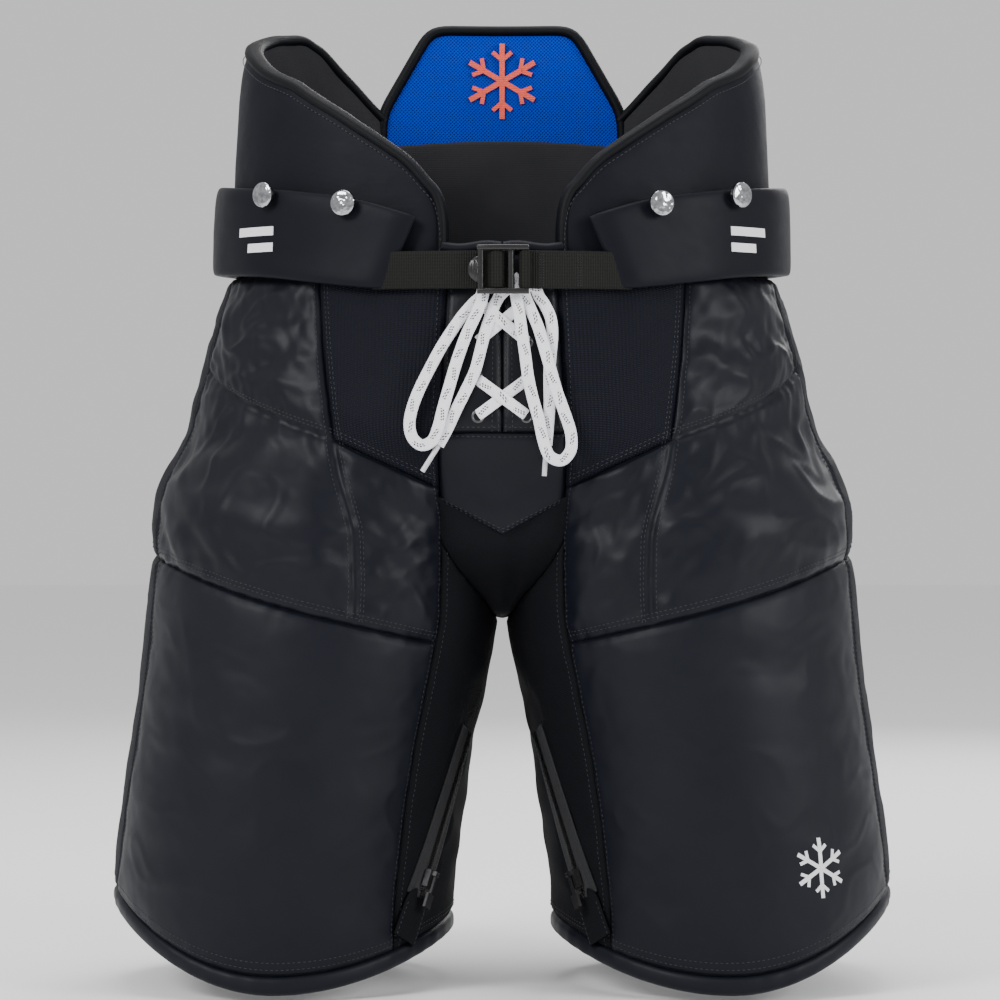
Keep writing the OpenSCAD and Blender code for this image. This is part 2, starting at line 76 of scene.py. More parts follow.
def smooth_table(pairs, step=1.0, blur=9.0):
    """A function through the pairs, with its corners rounded over about blur."""
    xs, ys = zip(*pairs)
    spots = np.arange(xs[0] - 60 * step, xs[-1] + 60 * step, step)
    reach = np.arange(-30, 31) * step
    kernel = np.exp(-0.5 * (reach / blur) ** 2)
    values = np.convolve(np.pad(np.interp(spots, xs, ys), 30, mode="edge"), kernel / kernel.sum(),
                         mode="valid")
    return lambda x: np.interp(x, spots, values)


shell_w = smooth_table([(180, 248), (250, 243), (300, 239), (330, 230), (380, 216), (425, 204),
                        (460, 194), (480, 188), (545, 186), (600, 184), (660, 176)])
shell_d = smooth_table([(250, 138), (380, 138), (480, 122), (545, 120), (660, 112)])
leg_x = smooth_table([(0, 152), (60, 151), (120, 144), (165, 137), (216, 128), (250, 123), (300, 121)])
leg_w = smooth_table([(0, 117), (165, 117), (216, 119), (250, 121), (300, 119)])
leg_d = smooth_table([(0, 130), (100, 138), (200, 138)])
center_y = smooth_table([(300, 103), (320, 108.5), (340, 120), (360, 131.5), (380, 138), (480, 122)],
                        blur=6.0)
crotch_h = smooth_table([(0, 246), (35, 251), (70, 268), (88, 281), (103, 300), (109, 320), (118, 336)],
                        blur=4.0)
wing_top = smooth_table([(-77.5, 508), (-76.7, 526), (-74.2, 542), (-69, 559), (-62, 573), (-52, 591),
                         (-44, 603), (-38, 612), (-26, 622), (-15, 633), (0, 645), (20, 655), (33, 658),
                         (41, 650), (52, 627), (62, 602)], step=0.25, blur=1.2)
belt_top = smooth_table([(-73, 512), (-59, 529), (-38, 537), (0, 545), (62, 545)], blur=5.0)
belt_foot = smooth_table([(-73, 466), (-40, 478), (0, 484), (62, 484)], blur=5.0)

# Seams of one side, as shares of the way round it or as heights
leg_top = smooth_table([(0, 231), (0.16, 250), (0.38, 284), (0.5, 292), (0.62, 285), (0.8, 262), (1, 240)],
                       step=0.005, blur=0.03)
yoke_h = smooth_table([(0, 334), (0.125, 368), (0.43, 418), (0.57, 418), (0.8, 400), (1, 388)],
                      step=0.005, blur=0.012)
rib_edge = smooth_table([(180, 0.12), (265, 0.115), (368, 0.125), (480, 0.19)])
stripe_front = smooth_table([(0, 0.44), (240, 0.435), (480, 0.43)])


def smooth_step(t):
    t = np.clip(t, 0, 1)
    return t * t * (3 - 2 * t)


def leg_at(angle, h, off=0.0):
    """A point of one leg's wall; angle 0 is outside, -90 in front and 180 inside."""
    a, h = np.broadcast_arrays(np.radians(angle), h)
    return np.stack([leg_x(h) + (leg_w(h) + off) * np.cos(a), (leg_d(h) + off) * np.sin(a), h], -1)


def waist_at(angle, h, off=0.0):
    a, h = np.broadcast_arrays(np.radians(angle), h)
    return np.stack([(shell_w(h) + off) * np.cos(a), (shell_d(h) + off) * np.sin(a), h], -1)


def side_at(a, h, off=0.0):
    """A point of one side's shell; a runs from its front border, 0, to its back border, 1."""
    a, h = np.broadcast_arrays(np.asarray(a, float), h)
    share = smooth_step((380 - h) / 80)[..., None]
    return (waist_at((2 * a - 1) * FLY_ANGLE, h, off) * (1 - share)
            + leg_at((2 * a - 1) * CROTCH_ANGLE, h, off) * share)


def strip_at(s, h, off=0.0, front=-1):
    """A point of the strip between the two sides, where s runs from -1 to 1 across it."""
    s, h = np.broadcast_arrays(np.asarray(s, float), h)
    edge, mid = side_at(np.zeros_like(s), h, off), center_y(h) + off
    return np.stack([s * edge[..., 0], front * (mid + (-edge[..., 1] - mid) * s * s), h], -1)


def spine_at(x, h, off=0.0):
    x, h = np.broadcast_arrays(np.asarray(x, float), h)
    return np.stack([x, (shell_d(h) + off) * np.sqrt(1 - (x / (shell_w(h) + off)) ** 2), h], -1)


def hem_h(angle):
    c = np.cos(np.radians(angle))
    return 50 * np.maximum(0, c) ** 2 + 30 * np.maximum(0, -c) ** 2


def crotch_w(y):
    """Half width of the crotch strip at depth y."""
    h = crotch_h(np.abs(y))
    return leg_x(h) - leg_w(h) * np.sqrt(1 - (np.abs(y) / leg_d(h)) ** 2)


# ---------------------------------------------------------------- meshes

def unit(v):
    return v / np.maximum(np.linalg.norm(v, axis=-1, keepdims=True), 1e-9)


def hand_name(side):
    """The wearer's left is side 1, along +X."""
    return "left" if side > 0 else "right"


def grid_axes(start, end, nu, nv):
    """A grid's two coordinates: from start to end across it, and from 0 to 1 up it."""
    return np.linspace(start, end, nu)[:, None] + np.zeros((1, nv)), np.linspace(0, 1, nv)[None, :]


def mesh_piece(name, verts, faces, material, uv=None, smooth=True, side=1):
    """A mesh from points in millimetres; side -1 mirrors it to the wearer's right."""
    verts = np.array(verts, float).reshape(-1, 3)
    verts = (verts * [side, 1, 1] - [0, 0, WAIST_H]) / 1000
    if side < 0:
        faces = [tuple(reversed(f)) for f in faces]
    mesh = bpy.data.meshes.new(name)
    mesh.from_pydata(verts.tolist(), [], [tuple(map(int, f)) for f in faces])
    if uv is not None:
        layer = mesh.uv_layers.new(name="metres")
        loops = np.zeros(len(mesh.loops), int)
        mesh.loops.foreach_get("vertex_index", loops)
        layer.data.foreach_set("uv", (np.array(uv, float).reshape(-1, 2)[loops] / 1000).ravel())
    for m in material if isinstance(material, (list, tuple)) else [material]:
        mesh.materials.append(m)
    mesh.polygons.foreach_set("use_smooth", [smooth] * len(mesh.polygons))
    obj = bpy.data.objects.new(name, mesh)
    bpy.context.scene.collection.objects.link(obj)
    return obj


def grid_uv(points):
    """Arc length along each direction of a grid, in millimetres."""
    du = np.linalg.norm(np.diff(points, axis=0), axis=-1)
    dv = np.linalg.norm(np.diff(points, axis=1), axis=-1)
    u = np.concatenate([np.zeros((1, points.shape[1])), np.cumsum(du, 0)])
    v = np.concatenate([np.zeros((points.shape[0], 1)), np.cumsum(dv, 1)], 1)
    return np.stack([u, v], -1)


def edge_distance(uv):
    """Distance from every point of a grid to its nearest edge, in millimetres."""
    u, v = uv[..., 0], uv[..., 1]
    return np.minimum(np.minimum(u, u[-1:] - u), np.minimum(v, v[:, -1:] - v))


def grid_normals(points):
    du = np.gradient(points, axis=0)
    dv = np.gradient(points, axis=1)
    return unit(np.cross(du, dv))


def grid_faces(n, m, wrap_u=False, wrap_v=False):
    i, j = np.meshgrid(np.arange(n if wrap_u else n - 1), np.arange(m if wrap_v else m - 1),
                       indexing="ij")
    i, j = i.ravel(), j.ravel()
    k, l = (i + 1) % n, (j + 1) % m
    return np.stack([i * m + j, k * m + j, k * m + l, i * m + l], -1).tolist()


def end_caps(n, m):
    """The two faces that close a stack of n rings of m points."""
    return [list(range(m - 1, -1, -1)), list(range((n - 1) * m, n * m))]


def grid_piece(name, points, material, thick=0.0, side=1, wrap_u=False, uv=None):
    n, m = points.shape[:2]
    obj = mesh_piece(name, points, grid_faces(n, m, wrap_u), material,
                     grid_uv(points) if uv is None else uv, side=side)
    if thick:
        solidify(obj, thick)
    return obj


def solidify(obj, thick):
    shell = obj.modifiers.new("thickness", "SOLIDIFY")
    shell.thickness = thick / 1000
    shell.offset = -1


def bevel(obj, width):
    mod = obj.modifiers.new("bevel", "BEVEL")
    mod.width, mod.segments, mod.limit_method = width / 1000, 3, "ANGLE"


def tube_rings(path, section, up):
    """Rings of a section, [across, up] pairs, along a path, and the distance along it."""
    path = np.array(path, float)
    along = unit(np.gradient(path, axis=0))
    across = unit(np.cross(along, up))
    lift = np.cross(across, along)
    rings = (path[:, None] + section[None, :, :1] * across[:, None] + section[None, :, 1:] * lift[:, None])
    run = np.concatenate([[0], np.cumsum(np.linalg.norm(np.diff(path, axis=0), axis=1))])
    return rings, run


def sweep(name, path, section, up, material, closed=False, side=1):
    """A solid of one section swept along a path; its UV runs round the section and along the path."""
    section = np.array(section, float)
    if closed:
        rings, run = tube_rings(np.concatenate([path[-2:], path, path[:2]]), section, up)
        rings, run = rings[2:-2], run[2:-2]
    else:
        rings, run = tube_rings(path, section, up)
    n, m = rings.shape[:2]
    faces = grid_faces(n, m, closed, True)
    if not closed:
        faces += end_caps(n, m)
    uv = np.stack(np.broadcast_arrays(section[None, :, 0], run[:, None]), -1)
    return mesh_piece(name, rings, faces, material, uv, side=side)


def oval_section(half_w, half_t, count=16, power=1.0):
    """An oval, or with power under 1 a rounded bar, as [across, up] pairs."""
    t = np.arange(count) * 2 * math.pi / count
    c, s = np.cos(t), np.sin(t)
    return np.stack([half_w * np.sign(c) * np.abs(c) ** power, half_t * np.sign(s) * np.abs(s) ** power], -1)


def curve_through(points, per=6):
    """A smooth line through the points (Catmull-Rom)."""
    p = np.array(points, float)
    p = np.concatenate([[2 * p[0] - p[1]], p, [2 * p[-1] - p[-2]]])
    t = np.linspace(0, 1, per, endpoint=False)[:, None]
    parts = [0.5 * (2 * b + (c - a) * t + (2 * a - 5 * b + 4 * c - d) * t ** 2
                    + (3 * b - a - 3 * c + d) * t ** 3)
             for a, b, c, d in zip(p, p[1:], p[2:], p[3:])]
    return np.concatenate(parts + [p[-2:-1]])


def place(obj, body, replaces=()):
    """obj rides on a body and stands for CAD nodes."""
    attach(obj, body)
    finish_piece(replaces)
    return obj


def place_blend(obj, replaces=()):
    """obj, between the pelvis and a leg, is baked in place and stands for CAD nodes."""
    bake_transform(obj)
    finish_piece(replaces)
    return obj


def finish_piece(replaces):
    if replaces:
        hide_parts(*replaces)


# ---------------------------------------------------------------- materials

class Nodes:
    """A material's node tree, with short calls for what the fabrics share."""

    def __init__(self, name, color, rough, **sockets):
        self.material = bpy.data.materials.new(name)
        self.material.use_nodes = True
        self.tree = self.material.node_tree
        self.shader = self.tree.nodes["Principled BSDF"]
        self.shader.inputs["Base Color"].default_value = (*color, 1)
        self.shader.inputs["Roughness"].default_value = rough
        for key, value in sockets.items():
            self.shader.inputs[key.replace("_", " ")].default_value = value
        self.color, self.normal = color, None
        uv = self.add("ShaderNodeUVMap")
        uv.uv_map = "metres"
        split = self.add("ShaderNodeSeparateXYZ")
        self.link(uv.outputs[0], split.inputs[0])
        self.uv, self.u, self.v = uv.outputs[0], split.outputs[0], split.outputs[1]
        where = self.add("ShaderNodeTexCoord")
        self.place = where.outputs["Object"]

    def add(self, kind):
        return self.tree.nodes.new(kind)

    def link(self, a, b):
        self.tree.links.new(a, b)

    def math(self, operation, a, b=None, c=None):
        node = self.add("ShaderNodeMath")
        node.operation = operation
        for socket, value in zip(node.inputs, (a, b, c)):
            if value is None:
                continue
            if isinstance(value, (int, float)):
                socket.default_value = value
            else:
                self.link(value, socket)
        return node.outputs[0]

    def wave(self, along, pitch):
        """A sine from 0 to 1 along a coordinate, with its pitch in millimetres."""
        turns = self.math("MULTIPLY", along, 2000 * math.pi / pitch)
        return self.math("MULTIPLY_ADD", self.math("SINE", turns), 0.5, 0.5)

    def noise(self, size, detail=2.0, vector=None):
        """Noise whose lumps are about size millimetres."""
        node = self.add("ShaderNodeTexNoise")
        node.inputs["Scale"].default_value = 1000 / size
        node.inputs["Detail"].default_value = detail
        self.link(self.uv if vector is None else vector, node.inputs["Vector"])
        return node.outputs["Fac"]

    def bump(self, height, depth, strength=1.0):
        """Raises the surface by up to depth millimetres where height is 1."""
        node = self.add("ShaderNodeBump")
        node.inputs["Distance"].default_value = depth / 1000
        node.inputs["Strength"].default_value = strength
        self.link(height, node.inputs["Height"])
        if self.normal:
            self.link(self.normal, node.inputs["Normal"])
        self.normal = node.outputs[0]
        self.link(self.normal, self.shader.inputs["Normal"])
        return self

    def mix_colors(self, fac, *colors):
        """Goes from the first colour to the second as fac goes from 0 to 1."""
        mix = self.add("ShaderNodeMix")
        mix.data_type = "RGBA"
        for socket, color in zip([s for s in mix.inputs if s.type == "RGBA"], colors):
            socket.default_value = (*color, 1)
        self.link(fac, mix.inputs[0])
        self.link([s for s in mix.outputs if s.type == "RGBA"][0], self.shader.inputs["Base Color"])
        return self

    def tint(self, fac, low, high):
        """Scales the colour from low to high as fac goes from 0 to 1."""
        return self.mix_colors(fac, *[[min(1, c * scale) for c in self.color] for scale in (low, high)])

    def rough(self, fac, low, high):
        spread = self.add("ShaderNodeMapRange")
        spread.inputs["To Min"].default_value = low
        spread.inputs["To Max"].default_value = high
        self.link(fac, spread.inputs["Value"])
        self.link(spread.outputs[0], self.shader.inputs["Roughness"])
        return self


def woven(name, color, rough, pitch, depth, wrinkle=0.0, sheen=0.15, **sockets):
    """A plain weave with threads pitch apart, and soft creases wrinkle deep."""
    n = Nodes(name, color, rough, Sheen_Weight=sheen, Sheen_Roughness=0.4,
              **{"Specular_IOR_Level": 0.2, **sockets})
    threads = n.math("MULTIPLY", n.wave(n.u, pitch), n.wave(n.v, pitch))
    n.bump(threads, depth)
    if wrinkle:
        n.bump(n.noise(16, 3.0), wrinkle)
    n.tint(n.noise(40, 4.0), 0.8, 1.25)
    n.rough(n.noise(9, 3.0), rough - 0.06, rough + 0.07)
    return n.material


def make_materials():
    m = {}
    m["nylon"] = woven("shell_nylon", (0.0042, 0.005, 0.0088), 0.4, 0.7, 0.04, 0.2, 0.01,
                       Specular_IOR_Level=0.16)
    m["satin"] = woven("satin_nylon", (0.0044, 0.0052, 0.0092), 0.46, 0.6, 0.03, 0.15, 0.01,
                       Specular_IOR_Level=0.16)
    m["fly"] = woven("fly_nylon", (0.0045, 0.005, 0.0075), 0.33, 0.7, 0.04, 0.2, 0.01,
                     Specular_IOR_Level=0.16)
    m["belt"] = woven("belt_nylon", (0.0048, 0.0052, 0.0085), 0.46, 0.6, 0.03, 0.2, 0.0,
                      Specular_IOR_Level=0.1)
    m["wing"] = woven("wing_fabric", (0.0052, 0.0057, 0.0095), 0.52, 0.8, 0.05, 0.4, 0.0,
                      Specular_IOR_Level=0.1)
    m["binding"] = woven("binding", (0.0032, 0.0035, 0.005), 0.5, 0.8, 0.08, 0.3, 0.0,
                         Specular_IOR_Level=0.12)
    m["lining"] = woven("lining", (0.009, 0.0095, 0.012), 0.85, 1.4, 0.12, 0.5, 0.06)
    m["brushed"] = woven("brushed_lining", (0.024, 0.024, 0.027), 0.9, 1.6, 0.15, 0.3, 0.02)
    n = Nodes("rib_knit", (0.0058, 0.0066, 0.0125), 0.6, Specular_IOR_Level=0.1, Sheen_Weight=0.0)
    rib = n.math("MULTIPLY", n.wave(n.u, 2.6), n.wave(n.v, 1.5))
    # Painted shade and highlight: the colour follows the rib height, darker in the grooves and lighter on the
    # raised ribs.
    n.bump(rib, 0.4).bump(n.noise(1.0), 0.1).tint(rib, 0.45, 1.7)
    m["rib"] = n.material
    n = Nodes("side_twill", (0.0075, 0.0082, 0.012), 0.58, Specular_IOR_Level=0.12, Sheen_Weight=0.0)
    diagonal = n.math("ADD", n.u, n.math("MULTIPLY", n.v, 0.6))
    twill = n.wave(diagonal, 1.8)
    # Painted shade and highlight: the colour follows the twill height, darker in the grooves and lighter on
    # the raised diagonals.
    n.bump(twill, 0.3).bump(n.wave(n.v, 0.9), 0.1).tint(twill, 0.5, 1.5)
    m["twill"] = n.material
    n = Nodes("stretch_knit", (0.0052, 0.0056, 0.0075), 0.78, Specular_IOR_Level=0.1, Sheen_Weight=0.0)
    knit = n.math("MULTIPLY", n.wave(n.u, 1.1), n.wave(n.v, 1.6))
    # Painted shade and highlight: the colour follows the knit height, darker in the hollows and lighter on
    # the raised loops.
    n.bump(knit, 0.18).bump(n.noise(14, 3.0), 0.5).tint(knit, 0.7, 1.3)
    m["stretch"] = n.material
    n = Nodes("blue_mesh", (0.0004, 0.03, 0.37), 0.62, Specular_IOR_Level=0.08)
    holes = n.math("MULTIPLY", n.wave(n.math("ADD", n.u, n.v), 2.6),
                   n.wave(n.math("SUBTRACT", n.u, n.v), 2.6))
    n.bump(holes, 0.5).tint(holes, 1.35, 0.3)
    m["blue"] = n.material
    n = Nodes("webbing", (0.0085, 0.009, 0.0078), 0.6, Specular_IOR_Level=0.12, Sheen_Weight=0.0)
    cords = n.wave(n.v, 1.6)
    picks = n.wave(n.u, 2.2)
    # Painted shade and highlight: the colour follows the cords' height, darker between the cords and lighter
    # on them.
    n.bump(cords, 0.22).bump(picks, 0.12).tint(cords, 0.6, 1.3)
    m["webbing"] = n.material
    m["lace"] = lace_material()
    n = Nodes("thread", (0.011, 0.012, 0.017), 0.5, Sheen_Weight=0.04)
    n.bump(n.noise(0.5), 0.05, 0.5).tint(n.noise(6), 0.8, 1.3)
    m["thread"] = n.material
    n = Nodes("emblem", (0.9, 0.09, 0.05), 0.45, Sheen_Weight=0.1)
    n.bump(n.math("MULTIPLY", n.wave(n.u, 0.7), n.wave(n.v, 1.6)), 0.12).tint(n.noise(6), 0.85, 1.1)
    m["emblem"] = n.material
    n = Nodes("white_print", (0.75, 0.75, 0.78), 0.5)
    n.bump(n.math("MULTIPLY", n.wave(n.u, 0.7), n.wave(n.v, 1.4)), 0.1).tint(n.noise(9), 0.92, 1.05)
    m["print"] = n.material
    n = Nodes("buckle_plastic", (0.006, 0.006, 0.0065), 0.24, Specular_IOR_Level=0.5)
    n.bump(n.noise(0.8, 3.0, n.place), 0.03).tint(n.noise(7, 2.0, n.place), 0.8, 1.3)
    n.rough(n.noise(5, 4.0, n.place), 0.2, 0.36)
    m["buckle"] = n.material
    n = Nodes("pull_plastic", (0.006, 0.006, 0.0075), 0.42)
    n.bump(n.noise(0.6, 3.0, n.place), 0.05).rough(n.noise(4, 4.0, n.place), 0.34, 0.52)
    m["pull"] = n.material
    # Painted reflection: the dark base colour and the noise tint from 0.2 to 1.9 stand in for dark and light
    # surroundings reflected in the chrome.
    n = Nodes("chrome", (0.36, 0.37, 0.39), 0.1, Metallic=1.0)
    n.bump(n.noise(5.0, 1.0, n.place), 0.9).rough(n.noise(3, 5.0, n.place), 0.05, 0.14)
    n.tint(n.noise(3.0, 2.0, n.place), 0.2, 1.9)
    m["chrome"] = n.material
    n = Nodes("gunmetal", (0.1, 0.1, 0.105), 0.26, Metallic=0.95)
    n.rough(n.noise(2, 4.0, n.place), 0.22, 0.4).tint(n.noise(3, 4.0, n.place), 0.7, 1.4)
    m["gunmetal"] = n.material
    n = Nodes("aglet", (0.6, 0.6, 0.63), 0.22, Coat_Weight=0.6, Coat_Roughness=0.08)
    n.bump(n.wave(n.v, 0.9), 0.04).tint(n.noise(3, 3.0, n.place), 0.75, 1.1)
    m["aglet"] = n.material
    n = Nodes("guard_plastic", (0.55, 0.57, 0.6), 0.45)
    n.bump(n.noise(1.2, 3.0, n.place), 0.06).rough(n.noise(20, 4.0, n.place), 0.38, 0.55)
    m["guard"] = n.material
    n = Nodes("foam", (0.25, 0.26, 0.29), 0.9)
    n.bump(n.noise(1.6, 4.0, n.place), 0.25).tint(n.noise(2.2, 3.0, n.place), 0.75, 1.2)
    m["foam"] = n.material
    n = Nodes("zip_tape", (0.005, 0.0053, 0.007), 0.7, Sheen_Weight=0.04)
    # Painted shade and highlight: the colour follows the tape's ridges, darker between them and lighter on
    # top.
    n.bump(n.wave(n.u, 1.0), 0.15).bump(n.wave(n.v, 0.8), 0.08).tint(n.wave(n.u, 1.0), 0.7, 1.3)
    m["tape"] = n.material
    return m


def lace_material():
    """White flat weave with two rows of dark dashes near the middle."""
    n = Nodes("lace", (0.92, 0.92, 0.97), 0.75, Sheen_Weight=0.3, Sheen_Roughness=0.5)
    weave = n.math("MULTIPLY", n.wave(n.math("ADD", n.u, n.v), 1.5),
                   n.wave(n.math("SUBTRACT", n.u, n.v), 1.5))
    n.bump(weave, 0.28)
    slant = n.math("MULTIPLY_ADD", n.math("SINE", n.math("MULTIPLY", n.v, 2 * math.pi / 0.028)), 0.0013, n.u)
    row = n.math("SUBTRACT", n.math("ABSOLUTE", slant), 0.0007)
    near = n.math("LESS_THAN", n.math("ABSOLUTE", row), 0.00046)
    dash = n.math("GREATER_THAN", n.wave(n.math("ADD", n.v, n.math("MULTIPLY", n.u, 0.6)), 2.1), 0.42)
    group = n.math("GREATER_THAN", n.wave(n.math("ADD", n.v, 0.006), 14.0), 0.4)
    dark = n.math("MULTIPLY", n.math("MULTIPLY", near, dash), group)
    return n.mix_colors(dark, n.color, (0.03, 0.03, 0.035)).material


MAT = make_materials()


# ---------------------------------------------------------------- camera and light

def make_camera():
    data = bpy.data.cameras.new("camera")
    data.sensor_width = 36
    data.lens = LENS
    camera = bpy.data.objects.new("camera", data)
    bpy.context.scene.collection.objects.link(camera)
    camera.location = (-0.0015, -CAMERA_AWAY, (CAMERA_H - WAIST_H) / 1000)
    camera.rotation_euler = (math.pi / 2, 0, 0)
    bpy.context.scene.camera = camera


def area_light(name, location, target, size, power):
    data = bpy.data.lights.new(name, "AREA")
    data.shape = "RECTANGLE"
    data.size = data.size_y = size
    data.energy = power
    lamp = bpy.data.objects.new(name, data)
    bpy.context.scene.collection.objects.link(lamp)
    lamp.location = location
    lamp.rotation_euler = (Vector(target) - Vector(location)).to_track_quat("-Z", "Y").to_euler()


def make_stage():
    world = bpy.data.worlds.new("studio")
    bpy.context.scene.world = world
    world.use_nodes = True
    world.node_tree.nodes["Background"].inputs[0].default_value = (1, 1, 1, 1)
    world.node_tree.nodes["Background"].inputs[1].default_value = 0.75
    floor_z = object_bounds()[0].z - 0.004
    mesh = bpy.data.meshes.new("floor")
    mesh.from_pydata([(-12, -12, floor_z), (12, -12, floor_z), (12, 12, floor_z), (-12, 12, floor_z)], [],
                     [(0, 1, 2, 3)])
    floor = bpy.data.objects.new("floor", mesh)
    bpy.context.scene.collection.objects.link(floor)
    n = Nodes("floor", (0.93, 0.93, 0.93), 0.8)
    mesh.materials.append(n.material)
    area_light("key", (-1.6, -1.7, 1.2), (0, 0, -0.1), 0.9, 50)
    area_light("fill", (1.9, -1.2, 0.6), (0, 0, -0.15), 0.8, 30)
    area_light("top", (0, 0.3, 2.0), (0, 0, 0), 1.4, 30)
    area_light("back", (0.8, 2.2, 1.0), (0, 0, 0), 1.2, 25)


make_camera()
make_stage()


# ---------------------------------------------------------------- the bow's loose laces

LACE_ROUTES = {
    "right_lace_loop": [
        (-14, -128, 463), (-19, -129, 458), (-26, -131, 450), (-33, -133, 440), (-40, -135, 429),
        (-47, -137, 416), (-54, -139, 402), (-59, -141, 389), (-61, -141, 378), (-59, -142, 369),
        (-53, -143, 364), (-46, -143, 367), (-42, -143, 376), (-39, -142, 388), (-35, -141, 402),
        (-30, -139, 419), (-24, -136, 436), (-17, -134, 451), (-13, -132, 462)],
    "right_lace_tail": [
        (-2, -128, 463), (-5, -129, 457), (-9, -131, 446), (-12, -133, 436), (-15, -135, 424),
        (-18, -137, 413), (-24, -139, 400), (-30, -140, 388), (-36, -140, 375), (-42, -140, 364)],
    "left_lace_loop": [
        (15, -129, 463), (19, -132, 453), (24, -135, 441), (28, -139, 427), (32, -141, 413),
        (36, -142, 399), (41, -143, 385), (45, -143, 372), (45, -143, 361), (39, -143, 354),
        (31, -143, 357), (27, -143, 367), (24, -143, 381), (20, -142, 395), (17, -141, 409),
        (15, -139, 424), (13, -137, 438), (11, -135, 452), (9, -132, 463)],
    "left_lace_tail": [
        (24, -128, 463), (28, -129, 457), (32, -130, 448), (33, -132, 437), (32, -134, 425),
        (31, -136, 412), (31, -137, 400), (31, -139, 388), (30, -139, 375), (29, -139, 364)],
}
LACE_WIDTH = 8.0


def make_loose_laces():
    """The bow's two loops and two tails, with their ends tucked in behind the webbing."""
    for name, route in LACE_ROUTES.items():
        loop = name.endswith("loop")
        tucked = [(route[0][0] * 0.9, -127.6, 471)] + route
        if loop:
            tucked.append((route[-1][0] * 0.9, -128.8, 472))
        path = curve_through(tucked, 5)
        section = oval_section(LACE_WIDTH / 2 - 0.1, 0.8, 12, 0.6)
        lace = sweep(name + "_cloth", path, section, (0, 1, 0), MAT["lace"])
        place(lace, "root", [name])


make_loose_laces()


# ---------------------------------------------------------------- plain marks

def snowflake(arm):
    """Bars of a plain six-armed snowflake: x, height, x, height, half width."""
    bars = []
    for k in range(6):
        a = math.radians(60 * k + 30)
        root = arm * 0.56 * np.array([math.cos(a), math.sin(a)])
        bars.append((0, 0, arm * math.cos(a), arm * math.sin(a), arm * 0.07))
        for turn in (50, -50):
            b = a + math.radians(turn)
            tip = root + arm * 0.33 * np.array([math.cos(b), math.sin(b)])
            bars.append((*root, *tip, arm * 0.055))
    return bars


def raised_mark(name, bars, put, material, side=1):
    """Bars raised a little from a surface; put(x, height, lift) places a point on it."""
    verts, faces = [], []
    for x0, z0, x1, z1, half in bars:
        along = unit(np.array([x1 - x0, z1 - z0], float))
        base = len(verts)
        for t in np.linspace(0, 1, 8):
            for hand, lift in ((-1, 0), (-1, 1), (1, 1), (1, 0)):
                x = x0 + (x1 - x0) * t - along[1] * half * hand
                z = z0 + (z1 - z0) * t + along[0] * half * hand
                verts.append(put(x, z, lift))
        for q in range(7):
            for e in range(4):
                a, b = base + q * 4 + e, base + q * 4 + (e + 1) % 4
                faces.append((a, b, b + 4, a + 4))
        faces.append((base + 3, base + 2, base + 1, base))
        faces.append((base + 28, base + 29, base + 30, base + 31))
    verts = np.array(verts)
    return mesh_piece(name, verts, faces, material, verts[:, [0, 2]], smooth=False, side=side)


# ---------------------------------------------------------------- the sewn shell

class Threads:
    """Collects stitches, which become one mesh for each side."""

    def __init__(self):
        self.verts, self.faces = [], []

    def line(self, points, normals, length=2.4, gap=1.1, r=0.32, lift=0.25):
        """Stitches along a line of points on a surface."""
        points, normals = np.array(points, float), np.array(normals, float)
        run = np.concatenate([[0], np.cumsum(np.linalg.norm(np.diff(points, axis=0), axis=1))])
        starts = np.arange(0.5, run[-1] - length, length + gap)
        for start in starts:
            spots = np.array([start, start + length / 2, start + length])
            p = np.stack([np.interp(spots, run, points[:, k]) for k in range(3)], -1)
            n = unit(np.stack([np.interp(spots, run, normals[:, k]) for k in range(3)], -1))
            across = unit(np.cross(n, unit(p[2:] - p[:1])))
            base = len(self.verts)
            for k, (drop, wide) in enumerate([(-0.25, 0.5), (lift, 1.0), (-0.25, 0.5)]):
                mid = p[k] + n[k] * drop
                self.verts += [mid + across[k % len(across)] * r * wide, mid + n[k] * r * wide,
                               mid - across[k % len(across)] * r * wide, mid - n[k] * r * wide]
            for ring in (0, 4):
                for q in range(4):
                    a, b = base + ring + q, base + ring + (q + 1) % 4
                    self.faces.append((a, b, b + 4, a + 4))
            self.faces.append((base + 3, base + 2, base + 1, base))
            self.faces.append((base + 8, base + 9, base + 10, base + 11))

    def piece(self, name, side=1):
        verts = np.array(self.verts)
        return mesh_piece(name, verts, self.faces, MAT["thread"], verts[:, [0, 2]], side=side)


def field_noise(points, size, seed, stretch=(1, 1, 1)):
    """Smooth noise from about -1 to 1 at every point of a grid."""
    flat = points.reshape(-1, 3) * np.array(stretch) / size + seed * 17.3
    return np.array([noise.noise(Vector(p)) for p in flat]).reshape(points.shape[:2]) * 1.8


